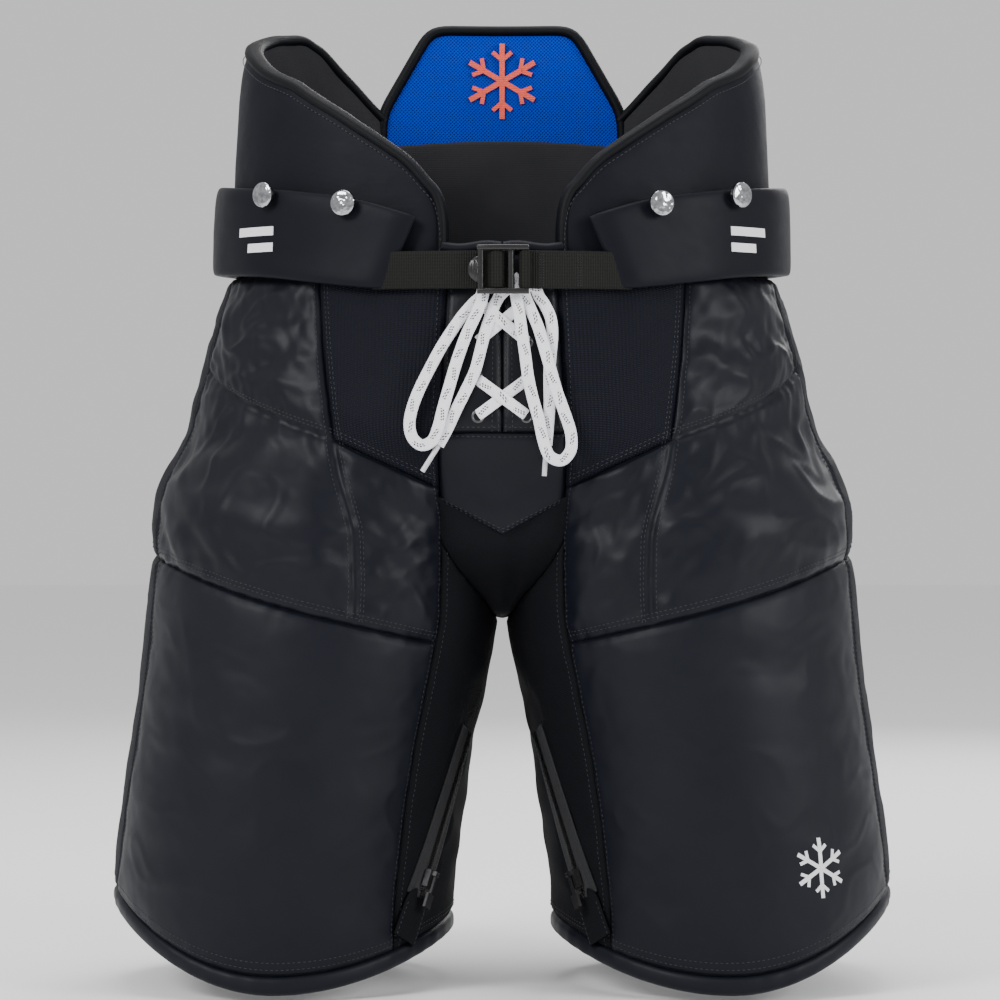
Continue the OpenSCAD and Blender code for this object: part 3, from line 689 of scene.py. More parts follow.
def cloth_wrinkles(points, pinned, seed):
    """How far each point moves when cloth cut too big is blown out between pinned seams."""
    n, m = points.shape[:2]
    jitter = np.random.default_rng(seed).uniform(0, 0.8, (n, m, 1))
    start = points + grid_normals(points) * jitter * ~pinned[..., None]
    obj = mesh_piece("wrinkle_cloth", start, grid_faces(n, m), MAT["nylon"])
    group = obj.vertex_groups.new(name="pin")
    group.add([int(k) for k in np.flatnonzero(pinned.ravel())], 1.0, "REPLACE")
    cloth = obj.modifiers.new("cloth", "CLOTH")
    s = cloth.settings
    s.quality, s.mass = 6, 0.2
    s.tension_stiffness = s.compression_stiffness = 12
    s.shear_stiffness, s.bending_stiffness = 6, 0.35
    s.vertex_group_mass = "pin"
    s.shrink_min = -0.06
    s.use_pressure, s.uniform_pressure_force = True, 1.2
    s.effector_weights.gravity = 0
    cloth.collision_settings.use_collision = False
    for step in range(1, 21):
        bpy.context.scene.frame_set(step)
    mesh = obj.evaluated_get(bpy.context.evaluated_depsgraph_get()).to_mesh()
    co = np.zeros(n * m * 3)
    mesh.vertices.foreach_get("co", co)
    bpy.data.objects.remove(obj)
    bpy.context.scene.frame_set(1)
    return np.nan_to_num(co.reshape(n, m, 3) * 1000 + [0, 0, WAIST_H] - points)


def enlarge(coarse, shape):
    """A coarse grid of values, smoothly enlarged to a finer grid's shape."""
    n, m = coarse.shape
    rows = np.linspace(0, n - 1, shape[0])
    cols = np.linspace(0, m - 1, shape[1])
    fine = np.array([np.interp(rows, np.arange(n), coarse[:, j]) for j in range(m)]).T
    fine = np.array([np.interp(cols, np.arange(m), fine[i]) for i in range(shape[0])])
    for axis in (0, 1):
        for _ in range(2):
            fine = (np.roll(fine, 1, axis) + 2 * fine + np.roll(fine, -1, axis)) / 4
    return fine


class Side:
    """The dense grid of one side's shell, from its front border to its back border."""

    cols = [0, 34, 108, 144, 256]
    rows = [0, 100, 144, 194]

    def __init__(self, side):
        self.side = side
        self.name = hand_name(side)
        self.leg = self.name + "_leg"
        self.base = self.grid()
        self.uv = grid_uv(self.base)
        self.normals = grid_normals(self.base)
        self.points = self.base + self.normals * self.relief()[..., None]
        self.normals = grid_normals(self.points)

    def grid(self):
        """The grid's points before any folds, with its lines on the seams."""
        c, r = self.cols, self.rows
        i, j = np.arange(c[-1] + 1), np.arange(r[-1] + 1)
        a = np.interp(i, c, [0, 0.125, 0.435, 0.565, 1])[:, None] + 0 * j[None]
        h = np.zeros_like(a)
        for _ in range(6):
            lines = [hem_h((2 * a - 1) * CROTCH_ANGLE) + HEM_ROLL, leg_top(a), yoke_h(a),
                     np.full_like(a, WAIST_H)]
            for k in range(3):
                part = (j >= r[k]) & (j <= r[k + 1])
                t = ((j - r[k]) / (r[k + 1] - r[k]))[None, :]
                h = np.where(part[None, :], lines[k] * (1 - t) + lines[k + 1] * t, h)
            front = stripe_front(h)
            edges = [np.zeros_like(h), rib_edge(h), front, 1 - front, np.ones_like(h)]
            for k in range(4):
                part = (i >= c[k]) & (i <= c[k + 1])
                t = ((i - c[k]) / (c[k + 1] - c[k]))[:, None]
                a = np.where(part[:, None], edges[k] * (1 - t) + edges[k + 1] * t, a)
        return side_at(a, h)

    def seam_distance(self):
        """Distance to the nearest seam that runs up the leg and to the nearest that runs round it."""
        c, r = self.cols, self.rows
        u, v = self.uv[..., 0], self.uv[..., 1]
        above_leg = np.arange(u.shape[1])[None, :] >= r[1]
        upright = round_leg = np.full(u.shape, 1e3)
        for k, col in enumerate(c):
            d = np.abs(u - u[col:col + 1])
            if k == 1:
                d = np.where(above_leg, d, 1e3)
            upright = np.minimum(upright, d)
        index = np.arange(u.shape[0])[:, None]
        for k, row in enumerate(r):
            d = np.abs(v - v[:, row:row + 1])
            if k == 2:
                d = np.where((index > c[2]) & (index < c[3]), 1e3, d)
            round_leg = np.minimum(round_leg, d)
        return upright, round_leg

    def relief(self):
        """Height of folds, puffed panels and sunk seams above the plain shell."""
        upright, round_leg = self.seam_distance()
        d = np.minimum(upright, round_leg)
        seed = 3 + self.side
        col, row = np.arange(d.shape[0])[:, None], np.arange(d.shape[1])[None, :]
        leg_part = row < self.rows[1]
        rib = (col <= self.cols[1]) & (row >= self.rows[2])
        stripe = (col >= self.cols[2]) & (col <= self.cols[3])
        calm = np.where(leg_part, 0.35, 1.0) * np.where(rib, 0.35, 1.0) * np.where(stripe, 0.5, 1.0)
        crown = 2.6 * (1 - np.exp(-d / 14))
        groove = -1.9 * np.exp(-(d / 2.4) ** 2)
        u, v = self.uv[..., 0], self.uv[..., 1]
        flat = np.stack([u, v, 0 * u], -1)
        pucker = (np.exp(-upright / 13) * field_noise(flat, 7, seed, (0.28, 1, 1))
                  + np.exp(-round_leg / 13) * field_noise(flat, 7, seed + 3, (1, 0.28, 1))) * 0.75
        folds = field_noise(self.base, 46, seed + 5, (1, 1, 2.2)) * 1.3 * (1 - np.exp(-d / 12))
        warp = self.base + 12 * np.stack([field_noise(self.base, 40, seed + k) for k in (11, 12, 13)], -1)
        crease = 1.1 * (1 - smooth_step(np.abs(field_noise(warp, 44, seed + 14, (1, 1, 1.6))) * 2.2))
        height = crown + groove + calm * (pucker + folds + (crease - 0.4) * (1 - np.exp(-d / 8)))
        step = 4
        coarse = self.base[::step, ::step]
        near = d[::step, ::step] < 5.5
        near[0] = near[-1] = True
        near[:, 0] = near[:, -1] = True
        moved = cloth_wrinkles(coarse, near, seed)
        outward = (moved * self.normals[::step, ::step]).sum(-1)
        height = height + enlarge(np.clip(outward * 0.55, -2.0, 4.0), d.shape) * calm
        return height

    def piece(self, name, blocks, material, slot):
        """One cloth panel made of blocks, (first column line, last, first row line, last)."""
        m = self.points.shape[1]
        faces = []
        for c0, c1, r0, r1 in blocks:
            for i in range(self.cols[c0], self.cols[c1]):
                for j in range(self.rows[r0], self.rows[r1]):
                    faces.append((i * m + j, (i + 1) * m + j, (i + 1) * m + j + 1, i * m + j + 1))
        faces = np.array(faces)
        used, flat = np.unique(faces, return_inverse=True)
        obj = mesh_piece(f"{self.name}_{name}_cloth", self.points.reshape(-1, 3)[used],
                         flat.reshape(faces.shape).tolist(), MAT[material], self.uv.reshape(-1, 2)[used],
                         side=self.side)
        solidify(obj, SHELL_T)
        place_blend(obj, [f"{self.name}_{name}"])

    def on_cloth(self, point, lift):
        """The spot of the folded cloth nearest a point, lifted off it."""
        if not hasattr(self, "tree"):
            n, m = self.points.shape[:2]
            self.tree = BVHTree.FromPolygons(self.points.reshape(-1, 3).tolist(), grid_faces(n, m))
        spot, normal, _, _ = self.tree.find_nearest(Vector(point))
        return np.array(spot) + np.array(normal) * lift

    def stitch(self, threads):
        """Double rows of stitches along the seams."""
        p, n = self.points, self.normals
        c, r = self.cols, self.rows
        for line, rows in ((c[1], (r[1], r[3])), (c[2], (r[0], r[3])), (c[3], (r[0], r[3]))):
            for k in (-3, -2, 2):
                part = slice(rows[0] + 1, rows[1])
                threads.line(p[line + k, part], n[line + k, part])
        for line, cols in ((r[1], (0, c[4])), (r[2], (0, c[2])), (r[2], (c[3], c[4]))):
            for k in (2, 3):
                part = slice(cols[0] + 1, cols[1])
                threads.line(p[part, line + k], n[part, line + k])
        for k in (2, 4):
            threads.line(p[:, k], n[:, k])
        threads.line(p[2, r[0]:r[3]], n[2, r[0]:r[3]])
        threads.line(p[-3, r[0]:r[3]], n[-3, r[0]:r[3]])


def inner_grid():
    """The inner thigh, from the back border round the inside to the front border."""
    angle, t = grid_axes(CROTCH_ANGLE, 360 - CROTCH_ANGLE, 90, 90)
    top = crotch_h(np.abs(leg_at(angle, np.full_like(angle, 262.0))[..., 1])) + 1.5
    h = (hem_h(angle) + HEM_ROLL) * (1 - t) + top * t
    return leg_at(angle, h)


def make_inner_leg(side, threads):
    """The stretch panel inside the leg, kept flat beside the zip."""
    base = inner_grid()
    uv = grid_uv(base)
    d = edge_distance(uv)
    height = 0.8 * (1 - np.exp(-d / 14)) - 1.9 * np.exp(-(d / 2.4) ** 2)
    height += field_noise(base, 40, 21 + side, (1, 1, 1.8)) * 1.2 * (1 - np.exp(-d / 12))
    height += 0.5 * np.exp(-d / 9) * field_noise(base, 7, 31 + side)
    zip_run = np.clip((base - ZIP_LOW) @ ZIP_ALONG, -40, 115)[..., None]
    away = np.linalg.norm(base - ZIP_LOW - ZIP_ALONG * zip_run, axis=-1)
    height = np.where(away < 40, np.minimum(height, 0.2 + 3 * smooth_step((away - 13) / 25)), height)
    points = base + grid_normals(base) * height[..., None]
    name = hand_name(side)
    obj = grid_piece(f"{name}_inner_leg_cloth", points, MAT["stretch"], 2.0, side, uv=uv)
    place_blend(obj, [f"{name}_inner_leg"])
    n = grid_normals(points)
    for k in (2, 3):
        threads.line(points[:, k], n[:, k])
    threads.line(points[2], n[2])
    threads.line(points[-3], n[-3])


def make_hem(side):
    """The puffy rolled hem, as one closed band round the leg's foot."""
    angle = np.linspace(180, 540, 181)[:-1]
    ring = leg_at(angle, hem_h(angle) + 6.8, -7.0)
    out = unit(ring - np.stack([leg_x(ring[:, 2]), 0 * angle, ring[:, 2]], -1))
    t = np.linspace(math.pi, 3 * math.pi, 28, endpoint=False)
    c, s = np.cos(t), np.sin(t)
    across = 7.9 * np.sign(c) * np.abs(c) ** 0.75
    height = 6.9 * np.sign(s) * np.abs(s) ** 0.7
    puff = 1 + 0.05 * np.sin(np.radians(angle) * 46) * (np.cos(np.radians(angle * 5)) * 0.5 + 0.5)
    rings = (ring[:, None] + out[:, None] * (across[None, :, None] * puff[:, None, None])
             + np.array([0, 0, 1]) * height[None, :, None])
    n, m = rings.shape[:2]
    run = np.cumsum(np.linalg.norm(np.diff(ring, axis=0, prepend=ring[-1:]), axis=1))
    uv = np.stack(np.broadcast_arrays(run[:, None], np.cumsum(np.hypot(np.diff(across, prepend=across[-1]),
                  np.diff(height, prepend=height[-1])))[None]), -1)
    name = hand_name(side)
    obj = mesh_piece(f"{name}_hem_roll", rings, grid_faces(n, m, True, True), MAT["satin"], uv, side=side)
    place_blend(obj, [f"{name}_hem_band"])


def make_lining(side):
    """The leg's lining, from the hem up into the hips."""
    name = hand_name(side)
    angle, t = grid_axes(0, 357, 120, 50)
    turned = np.abs((angle + 180) % 360 - 180)
    inner = smooth_step((turned - 120) / 20)
    top = 284 - 44 * inner
    h = (hem_h(angle) + 11) * (1 - t) + top * t
    points = leg_at(angle, h, -13.2)
    points = points + grid_normals(points) * field_noise(points, 35, 41 + side)[..., None] * 0.9
    obj = grid_piece(f"{name}_leg_lining_cloth", points, MAT["lining"], 1.3, side, wrap_u=True)
    place_blend(obj, [f"{name}_leg_liner"])


def closed_plate(name, outer, inner, material, side=1):
    """A solid between two grids of the same shape."""
    n, m = outer.shape[:2]
    faces = grid_faces(n, m)
    faces += [tuple(k + n * m for k in reversed(f)) for f in faces]
    rim = [(i, 0) for i in range(n)] + [(n - 1, j) for j in range(1, m)]
    rim += [(i, m - 1) for i in range(n - 2, -1, -1)] + [(0, j) for j in range(m - 2, 0, -1)]
    flat = [i * m + j for i, j in rim]
    faces += [(b, a, a + n * m, b + n * m) for a, b in zip(flat, flat[1:] + flat[:1])]
    uv = np.concatenate([grid_uv(outer).reshape(-1, 2), grid_uv(inner).reshape(-1, 2)])
    return mesh_piece(name, np.concatenate([outer.reshape(-1, 3), inner.reshape(-1, 3)]), faces, material, uv,
                      side=side)


# What guards and foams share: the end of the piece's name, thickness, material, slot and fill
GUARD = ("plate", 2.2, "guard", "guard_plastic", None)
FOAM = ("pad", 4.8, "foam", "foam", 0.9)


def make_pad(node, at, seed, out, kind, leg, side):
    """A guard or foam pad behind the shell; at(off) gives its grid at a distance from the shell."""
    ending, thick, material, slot, fill = kind
    grid = at(out)
    d = edge_distance(grid_uv(grid))
    round_off = (thick * 0.42 * np.exp(-d / (thick * 0.45)))[..., None]
    wave = (field_noise(grid, 40, seed) * 0.35)[..., None]
    n = grid_normals(grid)
    inner = at(out - thick)
    obj = closed_plate(f"{node}_{ending}", grid - n * (round_off + wave),
                       inner + grid_normals(inner) * (round_off - wave), MAT[material], side)
    if leg:
        place_blend(obj, [node])
    else:
        place(obj, "root", [node])


def side_block(a0, a1, rise, high):
    """Grid points of a side's layer between two shares, from rise above the leg's top to a height."""
    a, t = grid_axes(a0, a1, 50, 44)
    foot = leg_top(a) + rise
    h = foot + (high - foot) * t
    return lambda off: side_at(a, h, off)


def leg_block(start, end, rise, top):
    """Grid points of a leg's layer between two angles; it ends below the fold at the hip."""
    angle, t = grid_axes(start, end, 60, 44)
    low = hem_h(angle) + rise
    return lambda off: leg_at(angle, low + (top - low) * t, off)


def make_pads(side):
    """The guards and foams of one hip and thigh."""
    name = hand_name(side)
    leg = name + "_leg"
    make_pad(f"{name}_hip_guard", side_block(0.27, 0.73, 6, 456), 101, -4.6, GUARD, leg, side)
    make_pad(f"{name}_hip_foam", side_block(0.24, 0.76, 6, 462), 102, -7.4, FOAM, leg, side)
    make_pad(f"{name}_thigh_guard", leg_block(-118, 28, 25, 181), 103, -5.2, GUARD, leg, side)
    make_pad(f"{name}_thigh_foam", leg_block(-124, 34, 19, 184), 104, -7.7, FOAM, leg, side)


def make_shell():
    """Both sides' panels, legs, zips, pads and seam stitches."""
    for side in (1, -1):
        s = Side(side)
        threads = Threads()
        s.piece("rib_panel", [(0, 1, 2, 3)], "rib", "rib_knit")
        s.piece("hip_panel", [(0, 1, 1, 2), (1, 2, 1, 3)], "nylon", "shell_nylon")
        s.piece("side_stripe", [(2, 3, 1, 3)], "twill", "side_twill")
        s.piece("seat_panel", [(3, 4, 1, 3)], "nylon", "shell_nylon")
        s.piece("thigh_front", [(0, 2, 0, 1)], "satin", "satin_nylon")
        s.piece("thigh_side", [(2, 3, 0, 1)], "twill", "side_twill")
        s.piece("thigh_back", [(3, 4, 0, 1)], "nylon", "shell_nylon")
        s.stitch(threads)
        make_inner_leg(side, threads)
        make_hem(side)
        make_lining(side)
        make_zip(side, threads)
        obj = threads.piece(f"{s.name}_seam_stitches", side)
        place_blend(obj)
        make_pads(side)
        if side > 0:
            mark = raised_mark("thigh_snowflake_print", snowflake(20), lambda x, z, lift: s.on_cloth(
                leg_at(-58.6 + 0.466 * x, 84 + z, 3.0), 1.1 * lift - 0.7), MAT["print"])
            place_blend(mark)


# ---------------------------------------------------------------- the inner-leg zips

ZIP_LOW, ZIP_HIGH = np.array([52.1, -80.4, 73.0]), np.array([18.0, -38.8, 184.0])
ZIP_ALONG = unit(ZIP_HIGH - ZIP_LOW)
ZIP_OUT = unit(np.cross(np.cross(ZIP_ALONG, [-math.cos(math.radians(26)), -math.sin(math.radians(26)), 0]),
                        ZIP_ALONG))
ZIP_ACROSS = np.cross(ZIP_ALONG, ZIP_OUT)


def zip_point(wide, run, out):
    wide, run, out = np.broadcast_arrays(wide, run, out)
    return (ZIP_LOW + ZIP_ACROSS * wide[..., None] + ZIP_ALONG * run[..., None] + ZIP_OUT * out[..., None])


def on_leg(points, off):
    """Points moved straight in or out to the leg's wall."""
    h = points[..., 2]
    across = (points[..., 0] - leg_x(h)) / (leg_w(h) + off)
    return leg_at(np.degrees(np.arctan2(points[..., 1] / (leg_d(h) + off), across)), h, off)


def make_zip(side, threads):
    """The tape's two halves, its teeth, and the garage flap at its foot."""
    name = hand_name(side)
    halves = []
    for start, end in ((-13, -0.9), (0.9, 13)):
        wide = np.linspace(start, end, 12)[:, None] + np.zeros((1, 80))
        run = np.linspace(-14, 108, 80)[None, :] + 0 * wide
        hug = smooth_step((np.abs(wide) - 2) / 6)[..., None]
        plain = zip_point(wide, run, 0.6 + 0 * wide)
        halves.append(plain * (1 - hug) + on_leg(plain, 1.5) * hug)
    verts = np.concatenate([g.reshape(-1, 3) for g in halves])
    faces = grid_faces(12, 80)
    faces += [tuple(k + 12 * 80 for k in f) for f in faces]
    tape = mesh_piece(f"{name}_zip_tape_cloth", verts, faces, MAT["tape"],
                      np.concatenate([grid_uv(g).reshape(-1, 2) for g in halves]), side=side)
    solidify(tape, 1.0)
    place_blend(tape, [f"{name}_zip_tape"])
    for g, line in ((halves[0], 2), (halves[1], -3)):
        threads.line(g[line], grid_normals(g)[line])
    verts, faces = [], []
    for k in range(TEETH):
        for hand in (-1, 1):
            run = -11 + TOOTH_PITCH * (k + 0.5 * (hand > 0))
            base = len(verts)
            for out in (-0.6, 1.4):
                for wide, more in ((-0.5, -0.55), (2.7, -0.4), (2.7, 0.4), (-0.5, 0.55)):
                    verts.append(zip_point(hand * wide, run + more * (1 if out < 0 else 0.7), out))
            ring = [(0, 3, 2, 1), (4, 5, 6, 7)] + [(q, (q + 1) % 4, 4 + (q + 1) % 4, 4 + q) for q in range(4)]
            for f in ring:
                f = [base + q for q in f]
                faces.append(f if hand > 0 else f[::-1])
    teeth = mesh_piece(f"{name}_zip_teeth", verts, faces, MAT["gunmetal"], smooth=False, side=side)
    place_blend(teeth)
    run = np.linspace(-44, -8.2, 40)[None, :] + np.zeros((24, 1))
    half = 12.5 * np.sqrt(np.clip(1 - (np.clip(run + 20, 0, None) / 12.5) ** 2, 0.02, 1))
    wide = np.linspace(-1, 1, 24)[:, None] * half
    flap = on_leg(zip_point(wide, run, 0 * wide), 2.6)
    edge = np.minimum(half - np.abs(wide), -8.2 - run)
    flap = flap + grid_normals(flap) * (1.3 * (1 - np.exp(-edge / 3)))[..., None]
    garage = grid_piece(f"{name}_zip_garage", flap, MAT["stretch"], 1.5, side)
    place_blend(garage)
    n = grid_normals(flap)
    for line in (2, -3):
        threads.line(flap[line, :30], n[line, :30])


make_shell()


# ---------------------------------------------------------------- the middle of the front and back

def strip_grid(s0, s1, low, high, off, front):
    s, t = grid_axes(s0, s1, 40, 60)
    low = low(s) if callable(low) else low
    h = low * (1 - t) + high * t
    return strip_at(s, h, off, front)


def soften(points, seed):
    """Puffs a cloth panel between its edges."""
    d = edge_distance(grid_uv(points))
    height = 1.2 * (1 - np.exp(-d / 9)) - 1.5 * np.exp(-(d / 2.2) ** 2)
    height += 0.8 * field_noise(points, 24, seed) * (1 - np.exp(-d / 7))
    return points + grid_normals(points) * height[..., None]


def pucker_strip(points):
    """Gathered ridges across a narrow strip, deepest along its middle."""
    across = np.sin(np.linspace(0, math.pi, len(points)))[:, None]
    h = points[..., 2]
    ridge = np.sin(h / 1.5 + 2.2 * np.sin(h / 7.3)) * (0.6 + 0.4 * np.sin(h / 4.1))
    return across * (0.55 * ridge + 0.5) - 0.5 * (1 - across) ** 4


def make_front():
    """The fly with its tongue, the V panel, the seat's centre panel and the gusset."""
    threads = Threads()
    for side, name in ((1, "left"), (-1, "right")):
        points = soften(strip_grid(0.01, 1.0, 372, 492, 0.2, -1), 51 + side)
        if side > 0:
            points[30:, :, 1] -= pucker_strip(points[30:])
        place(grid_piece(f"{name}_fly_cloth", points, MAT["fly"], SHELL_T, side), "root",
              [f"{name}_fly"])
        n = grid_normals(points)
        flip = np.array([side, 1, 1])
        for line in (2, 6, 36):
            threads.line(points[line] * flip, n[line] * flip)
        threads.line(points[:, 2] * flip, n[:, 2] * flip)
        run = np.linspace(1, 40, 40)
        top = 495 + 1.0 * np.sin(run / 6.0)
        y = -np.sqrt(1 - (run / 187) ** 2) * 120.4
        roll = sweep(f"{name}_fly_roll", np.stack([run, y, top], -1), oval_section(4.2, 5.4, 20, 0.9),
                     (0, 1, 0), MAT["belt"], side=side)
        place(roll, "root")
    points = strip_grid(-0.9, 0.9, 376, 490, -3.2, -1)
    place(grid_piece("fly_tongue_cloth", points, MAT["lining"], 1.8), "root", ["fly_tongue"])
    points = soften(strip_grid(-1, 1, lambda s: 304 + 22 * np.abs(s), 371.6, 0.1, -1), 57)
    place(grid_piece("crotch_v_panel_cloth", points, MAT["nylon"], SHELL_T), "root",
          ["crotch_v_panel"])
    n = grid_normals(points)
    for k in (2, 4):
        threads.line(points[:, k], n[:, k])
    threads.line(points[:, -3], n[:, -3])
    points = soften(strip_grid(1, -1, 324, 480, 0.1, 1), 61)
    place(grid_piece("seat_center_panel_cloth", points, MAT["nylon"], SHELL_T), "root",
          ["seat_center_panel"])
    n = grid_normals(points)
    for k in (2, 4, -3, -5):
        threads.line(points[k], n[k])
    place(threads.piece("front_stitches"), "root")
    make_gusset()


def make_gusset():
    """The stretch strip under the crotch, with a soft fold along its middle."""
    s, t = grid_axes(1, -1, 30, 90)
    front = 108 + 8 * np.abs(s)
    y = -front + (front + 116) * t
    h = crotch_h(np.abs(y))
    width = crotch_w(y) + 1.5
    fold = 2.2 * np.exp(-((s - 0.25) / 0.22) ** 2) * smooth_step((np.abs(y) - 30) / 40)
    slope = np.sign(y) * (crotch_h(np.abs(y) + 1) - crotch_h(np.abs(y) - 1)) / 2
    normal = unit(np.stack([slope, -np.ones_like(slope)], -1))
    tuck = smooth_step((np.abs(y) - 98) / 12)
    off = -1.0 - fold + 1.2 * (1 - s ** 2) - 2.6 * tuck
    points = np.stack([s * width, y + off * normal[..., 0], h + off * normal[..., 1]], -1)
    place(grid_piece("crotch_gusset_cloth", points, MAT["stretch"], 2.2), "root",
          ["crotch_gusset"])


make_front()


# ---------------------------------------------------------------- belt, wings and spine pad

def pad_rings(middle, low, high, half_t, spots, off, power=0.55, count=40):
    """Closed rings of a pad between two heights; middle(spot, height, off) places a point."""
    t = np.linspace(-math.pi / 2, 1.5 * math.pi, count, endpoint=False)
    c, s = np.cos(t), np.sin(t)
    up = np.sign(s) * np.abs(s) ** (power * 0.6)
    out = np.sign(c) * np.abs(c) ** power
    mid, half = (low + high) / 2, (high - low) / 2
    h = mid[:, None] + half[:, None] * up[None]
    crown = half_t[:, None] * out[None]
    return middle(spots[:, None] + 0 * h, h, off + crown)


def closed_piece(name, rings, material, side=1):
    """A closed solid from rings, with its ends drawn together."""
    n, m = rings.shape[:2]
    return mesh_piece(name, rings, grid_faces(n, m, False, True) + end_caps(n, m), material,
                      grid_uv(rings), side=side)


def end_taper(t, share):
    """1 along a pad, falling in a quarter round to a small value at both ends."""
    edge = np.minimum(t, 1 - t) / share
    return np.sqrt(np.clip(1 - (1 - np.clip(edge, 0, 1)) ** 2, 0.02, 1))


def make_belt(side):
    """One padded half of the belt, with two plain white bars on it."""
    name = hand_name(side)
    t = 0.5 - 0.5 * np.cos(np.linspace(0, math.pi, 170))
    taper = end_taper(t, 0.035)

    def at(u, h, off):
        low, high = belt_foot(-70 + 132 * u), belt_top(-70 + 132 * u)
        v = np.clip((h - low) / (high - low), 0, 1)
        front = -66.5 - 6.5 * v
        return waist_at(front + (62 - front) * u, h, off)

    low, high = belt_foot(-70 + 132 * t), belt_top(-70 + 132 * t)
    squeeze = 0.94 + 0.06 * taper
    mid, half = (low + high) / 2, (high - low) / 2 * squeeze
    rings = pad_rings(at, mid - half, mid + half, 5.0 * taper, t, BELT_OFF)
    rings = rings + (field_noise(rings, 38, 71 + side) * 0.7)[..., None] * unit(rings * [1, 2.4, 0])
    obj = closed_piece(f"{name}_belt_pad_cloth", rings, MAT["belt"], side)
    place(obj, "root", [f"{name}_belt_pad"])

    def on_belt(x, z, lift):
        point = waist_at(-33.5 + 0.367 * x, 503 + z, BELT_OFF + 5.0)
        out = unit(point * [1, 2.4, 0])
        wave = field_noise(point[None, None], 38, 71 + side)[0, 0] * 0.7
        return point + out * (wave + 1.1 * lift - 0.7)

    bars = [(-17, 6, 17, 6, 3), (-17, -5, 6, -5, 3)]
    place(raised_mark(f"{name}_belt_bars_print", bars, on_belt, MAT["print"], side), "root")


def make_wing(side, threads):
    """One kidney wing, brushed inside; gives back the binding along its edge."""
    name = hand_name(side)
    angle = np.concatenate([np.linspace(-77.2, -70, 30), np.linspace(-70, 61.6, 110)[1:]])
    top = wing_top(angle) - 4.5
    low = np.full_like(top, 481.0)
    taper = end_taper((angle + 77.2) / 138.8, 0.03)
    rings = pad_rings(waist_at, low, top, 6.1 * (0.35 + 0.65 * taper), angle, WING_OFF, 0.45, 56)
    rings = rings + (field_noise(rings, 30, 81 + side) * 0.8)[..., None] * unit(rings * [1, 2.4, 0])
    obj = closed_piece(f"{name}_kidney_wing_cloth", rings, [MAT["wing"], MAT["brushed"]], side)
    for polygon in obj.data.polygons:
        inward = polygon.normal.x * polygon.center.x + 2.2 * polygon.normal.y * polygon.center.y < 0
        polygon.material_index = 1 if inward else 0
    place(obj, "root", [f"{name}_kidney_wing"])
    edge = [(-77.3, h) for h in (485, 492, 499, 506)] + [(-77.1, 515), (-76.5, 525), (-75.4, 533)]
    spots = np.concatenate([np.arange(-73.5, -60, 1.8), np.arange(-59, 61.8, 3)])
    edge = curve_through(edge + [(a, float(wing_top(a)) - 4.2) for a in spots], 5)
    path = waist_at(edge[:, 0], edge[:, 1], WING_OFF)
    outward = unit(path * [0.42, 1, 0])
    seam = waist_at(edge[4:-4, 0], edge[4:-4, 1] - 5.6, 0.1)
    threads.line(seam * [side, 1, 1], outward[4:-4] * [side, 1, 1])
    return sweep(f"{name}_wing_binding", path, oval_section(4.3, 6.6, 20), outward, MAT["binding"],
                 side=side)


def spine_outline(edge):
    """The spine pad's outline, [x, height], shrunk by edge."""
    inset = np.array([(91, 477), (90, 605), (55, 670), (-55, 670), (-90, 605), (-91, 477)], float)
    inset[:, 0] -= np.sign(inset[:, 0]) * edge
    inset[:, 1] += np.where(inset[:, 1] < 500, edge, np.where(inset[:, 1] > 650, -edge, 0))
    closed = np.concatenate([inset, inset[:1]])
    run = np.concatenate([[0], np.cumsum(np.linalg.norm(np.diff(closed, axis=0), axis=1))])
    spots = np.linspace(0, run[-1], 160, endpoint=False)
    line = np.stack([np.interp(spots, run, closed[:, k]) for k in (0, 1)], -1)
    for _ in range(6):
        line = (np.roll(line, 1, 0) + 2 * line + np.roll(line, -1, 0)) / 4
    return line


def spine_face(bulge, off, edge):
    """A grid over the spine pad, from its middle out to its outline."""
    line = spine_outline(edge)
    centre = np.array([0.0, 575.0])
    rings = np.linspace(0, 1, 26) ** 0.8
    flat = centre + rings[None, :, None] * (line - centre)[:, None]
    lift = bulge * (1 - rings[None, :] ** 4)
    return spine_at(flat[..., 0], flat[..., 1], off + lift), flat


def make_spine_pad():
    """The spine pad, mesh inside and plain outside; gives back its binding."""
    inner, flat = spine_face(-4.2, -10.0, 5.5)
    outer, _ = spine_face(4.5, -6.0, 5.5)
    n, m = inner.shape[:2]
    faces_in = grid_faces(n, m, True)
    faces_out = [tuple(reversed([k + n * m for k in f])) for f in faces_in]
    edge = [i * m + m - 1 for i in range(n)]
    rim = [(a, n * m + a, n * m + b, b) for a, b in zip(edge, edge[1:] + edge[:1])]
    verts = np.concatenate([inner.reshape(-1, 3), outer.reshape(-1, 3)])
    uv = np.concatenate([flat.reshape(-1, 2)] * 2)
    obj = mesh_piece("spine_pad_cloth", verts, faces_in + faces_out + rim, [MAT["blue"], MAT["wing"]], uv)
    for k, polygon in enumerate(obj.data.polygons):
        polygon.material_index = 0 if k < len(faces_in) else 1
    place(obj, "root", ["spine_pad"])
    line = spine_outline(3.6)
    path = spine_at(line[:, 0], line[:, 1], -8.0)
    return sweep("spine_pad_binding", path, oval_section(4.0, 5.2, 16), (0, 1, 0), MAT["binding"], True)


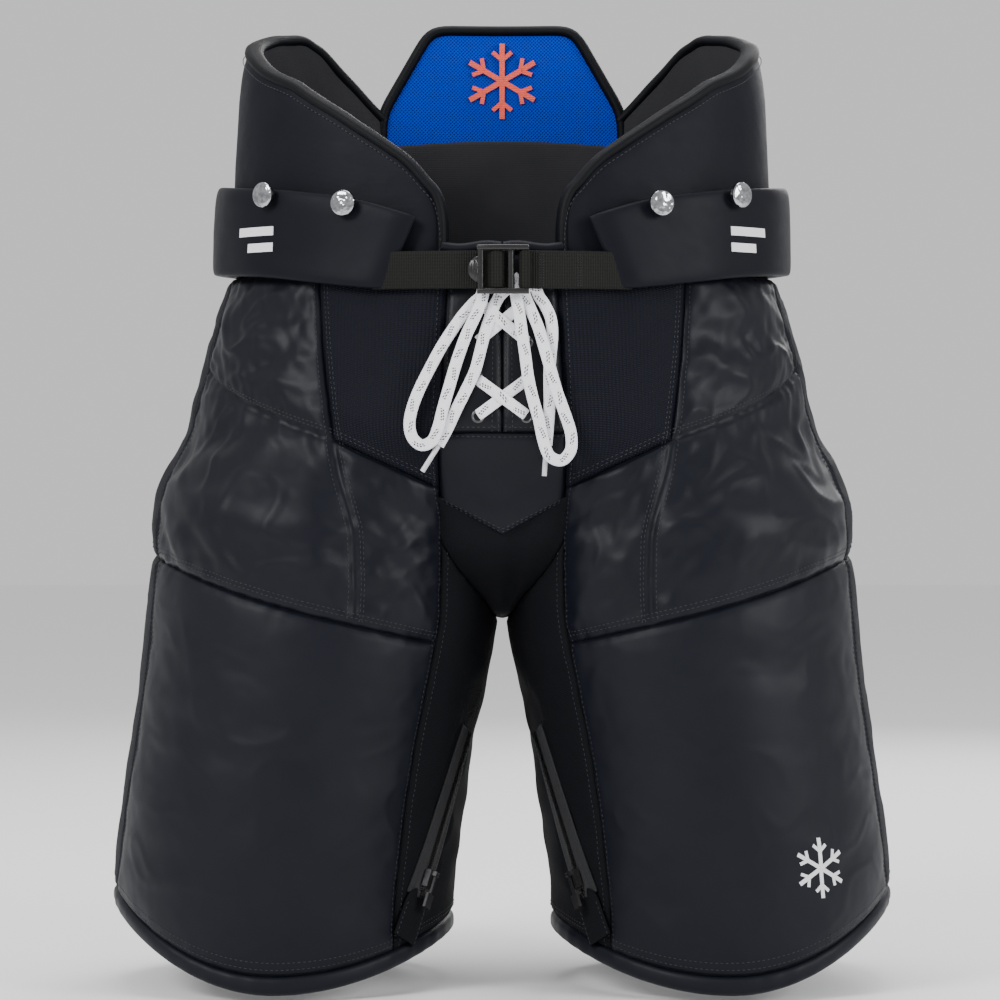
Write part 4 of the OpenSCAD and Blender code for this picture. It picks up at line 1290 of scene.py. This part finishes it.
def make_lumbar():
    """The brushed pocket that covers the lower part of the spine pad."""
    s, t = grid_axes(-1, 1, 60, 50)
    h = 480 * (1 - t) + (582 + 5 * (1 - s ** 2)) * t
    points = spine_at(s * 77, h, -15.3)
    uv = grid_uv(points)
    d = np.minimum(np.minimum(uv[..., 0], uv[-1:, :, 0] - uv[..., 0]), uv[:, -1:, 1] - uv[..., 1])
    points[..., 1] -= 1.2 * (1 - np.exp(-d / 10)) + field_noise(points, 30, 91) * 0.5
    obj = grid_piece("lumbar_liner_cloth", points, MAT["brushed"], 1.2)
    place(obj, "root", ["lumbar_liner"])


def make_hip_lining():
    """The lining from the top of the legs up to the waist, as one closed ring above the crotch."""
    t = np.linspace(0, 1, 36)[None, :]
    side = np.linspace(0, 1, 70)[:, None]
    strip = np.linspace(-1, 1, 16)[1:-1, None]
    low = np.interp(side, [0, 0.1, 0.3, 0.7, 0.9, 1], [330, 300, 268, 268, 300, 330])
    h = low + (478 - low) * t
    left = side_at(side + 0 * t, h, LINING_OFF)
    h = 330 + 148 * t + 0 * strip
    back = strip_at(-strip + 0 * t, h, LINING_OFF, 1)
    front = strip_at(strip + 0 * t, h, LINING_OFF, -1)
    right = left[::-1] * [-1, 1, 1]
    points = np.concatenate([left, back, right, front])
    points = points + (field_noise(points, 34, 95) * 0.7)[..., None] * grid_normals(points)
    place(grid_piece("hip_liner_cloth", points, MAT["lining"], 1.3, wrap_u=True), "root",
          ["hip_liner"])


def make_waist():
    """Belt, wings, spine pad, their bindings and stitches, the hip lining and the tailbone guard."""
    threads = Threads()
    bindings = []
    for side in (1, -1):
        make_belt(side)
        bindings.append(make_wing(side, threads))
    bindings.append(make_spine_pad())
    for obj in bindings:
        place(obj, "root", ["edge_bindings"])
    place(threads.piece("waist_stitches"), "root")
    make_lumbar()
    on_spine = lambda x, z, lift: spine_at(x, z + 630, -13.2 - 2.2 * lift)
    place(raised_mark("snowflake_print", snowflake(27), on_spine, MAT["emblem"]), "root")
    make_hip_lining()
    s, t = grid_axes(0.95, -0.95, 30, 30)
    make_pad("tailbone_guard", lambda off: strip_at(s, 344 + 122 * t, off, 1), 105, -4.4, GUARD, None, 1)


make_waist()


# ---------------------------------------------------------------- lacing, webbing and buckle

def front_y(x, h):
    """Depth of the fly's surface at x and height h."""
    return strip_at(x / side_at(np.zeros_like(h), h)[..., 0], h)[..., 1]


def make_lacing():
    """The two crossings between the eyelets and the bow's knot."""
    for k, (top, foot) in enumerate([(460, 432), (408, 383)]):
        for flip in (1, -1):
            t = np.linspace(0, 1, 25)
            x = flip * (-18 + 36 * t)
            h = top + (foot - top) * (1.06 * t - 0.03)
            over = 2.0 + (1.7 * np.exp(-((t - 0.5) / 0.2) ** 2) if flip > 0 else 0)
            sink = 4.2 * np.exp(-(np.minimum(t, 1 - t) / 0.045) ** 2)
            path = np.stack([x, front_y(x, h) - over + sink, h], -1)
            lace = sweep(f"lace_cross_{k}_{'a' if flip > 0 else 'b'}", path,
                         oval_section(3.8, 0.7, 12, 0.6), (0, 1, 0), MAT["lace"])
            place(lace, "root", ["lacing"])
    knots = [((-15, -127.5, 468), (6, -129.4, 473), (25, -127.5, 467)),
             ((-14, -128.3, 472), (4, -129.6, 467), (22, -128.2, 472)),
             ((-2, -129.5, 462), (6, -130.6, 470), (12, -129.5, 476))]
    for k, knot in enumerate(knots):
        lace = sweep(f"lace_knot_{k}", curve_through(knot, 10), oval_section(3.6, 1.1, 12, 0.6), (0, 1, 0),
                     MAT["lace"])
        place(lace, "root", ["lacing"])


def web_path(x0, x1):
    """The webbing's line round the waist, over the belt."""
    x = np.linspace(x0, x1, 60)
    w, d = shell_w(WAIST_H) + WEB_OFF, shell_d(WAIST_H) + WEB_OFF
    return np.stack([x, -d * np.sqrt(1 - (x / w) ** 2), np.full_like(x, WAIST_H)], -1)


def make_webbing():
    """The waist webbing's two ends: one over the buckle's bars, one looped round its rod."""
    flat = oval_section(1.0, 12.6, 24, 0.35)[:, ::-1]
    hump = [(-13, -132.2), (-10.4, -133.3), (-8.6, -135.4), (-6.6, -137.7), (-3.9, -138.5), (-1.2, -137.7),
            (0.4, -135.6), (1.6, -133.4), (4, -132.0), (8, -131.6)]
    hump = curve_through([(x, y, WAIST_H) for x, y in hump], 5)
    right = sweep("right_strap_web", np.concatenate([web_path(-86, -15), hump]), flat, (0, 1, 0),
                  MAT["webbing"])
    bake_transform(right)
    finish_piece(["right_strap"])
    threads = Threads()
    for x in (25, 27, 50, 52):
        h = np.linspace(-11.5, 11.5, 20)
        y = -132.9 * np.sqrt(1 - (x / 198.6) ** 2)
        threads.line([(x, y, WAIST_H + k) for k in h], [(0, -1, 0)] * 20, 1.2, 0.5, 0.35, 0.15)
    place(threads.piece("strap_bar_tacks"), "root")
    t = np.linspace(math.radians(60), math.radians(-250), 30)
    loop = np.stack([15 + 3.1 * np.cos(t), -135.7 + 3.1 * np.sin(t), np.full_like(t, WAIST_H)], -1)
    left = sweep("left_strap_web", np.concatenate([web_path(86, 18.5), loop]), flat, (0, 1, 0),
                 MAT["webbing"])
    place(left, "root", ["left_strap"])


def make_buckle():
    """The ladder buckle: two rails that bow forward, three bars, the anchor rod and a thumb tab."""
    pieces = []
    x = np.linspace(-16.2, 17.2, 40)
    bow = -137.2 - 1.9 * (1 - ((x - 0.5) / 16.7) ** 2)
    for z in (14.4, -14.4):
        path = np.stack([x, bow, np.full_like(x, WAIST_H + z)], -1)
        pieces.append((path, oval_section(1.9, 2.1, 20, 0.6), (0, 1, 0)))
    z = np.linspace(-14.4, 14.4, 24)
    for across, depth in ((-14.4, -137.6), (-4.0, -136.3), (5.6, -137.0)):
        path = np.stack([np.full_like(z, across), depth + 0 * z, WAIST_H + z], -1)
        pieces.append((path, oval_section(1.9, 1.45, 20, 0.7), (0, 1, 0)))
    path = np.stack([np.full_like(z, 15.0), np.full_like(z, -135.7), WAIST_H + z], -1)
    pieces.append((path, oval_section(1.8, 1.8, 20), (0, 1, 0)))
    for k, (path, section, up) in enumerate(pieces):
        place(sweep(f"buckle_bar_{k}", path, section, up, MAT["buckle"]), "buckle",
              ["ladder_buckle"])
    r = np.linspace(0, 1, 14)[:, None]
    t = np.linspace(math.pi / 2, 1.5 * math.pi, 40)[None, :]
    dome = 1.6 * (1 - r ** 4) + 0 * t
    flat = np.stack([-15 + 7.8 * r * np.cos(t), -137.0 - dome, WAIST_H + 8.6 * r * np.sin(t)], -1)
    ridge = 0.35 * np.sin((flat[..., 0] + 15) * 2 * math.pi / 2.2) * (1 - r ** 6)
    flat[..., 1] -= ridge * (np.abs(flat[..., 2] - WAIST_H) < 5.5)
    back = flat * [1, 0, 1] + np.array([0, -135.9, 0])
    tab = closed_plate("buckle_tab", flat, back, MAT["buckle"])
    place(tab, "buckle", ["ladder_buckle"])


def finish_cad_nodes():
    """CAD nodes whose shape is right keep it, with rounded edges and their own material."""
    for node, kind, width in (("suspender_buttons", "chrome", 0.35), ("eyelets", "gunmetal", 0),
                              ("lace_aglets", "aglet", 0.3),
                              ("left_zip_slider", "gunmetal", 0.4), ("right_zip_slider", "gunmetal", 0.4),
                              ("left_zip_pull", "pull", 0.4), ("right_zip_pull", "pull", 0.4)):
        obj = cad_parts[node]
        obj.data.materials.clear()
        obj.data.materials.append(MAT[kind])
        if width:
            bevel(obj, width)
        for polygon in obj.data.polygons:
            polygon.use_smooth = True


make_lacing()
make_webbing()
make_buckle()
finish_cad_nodes()
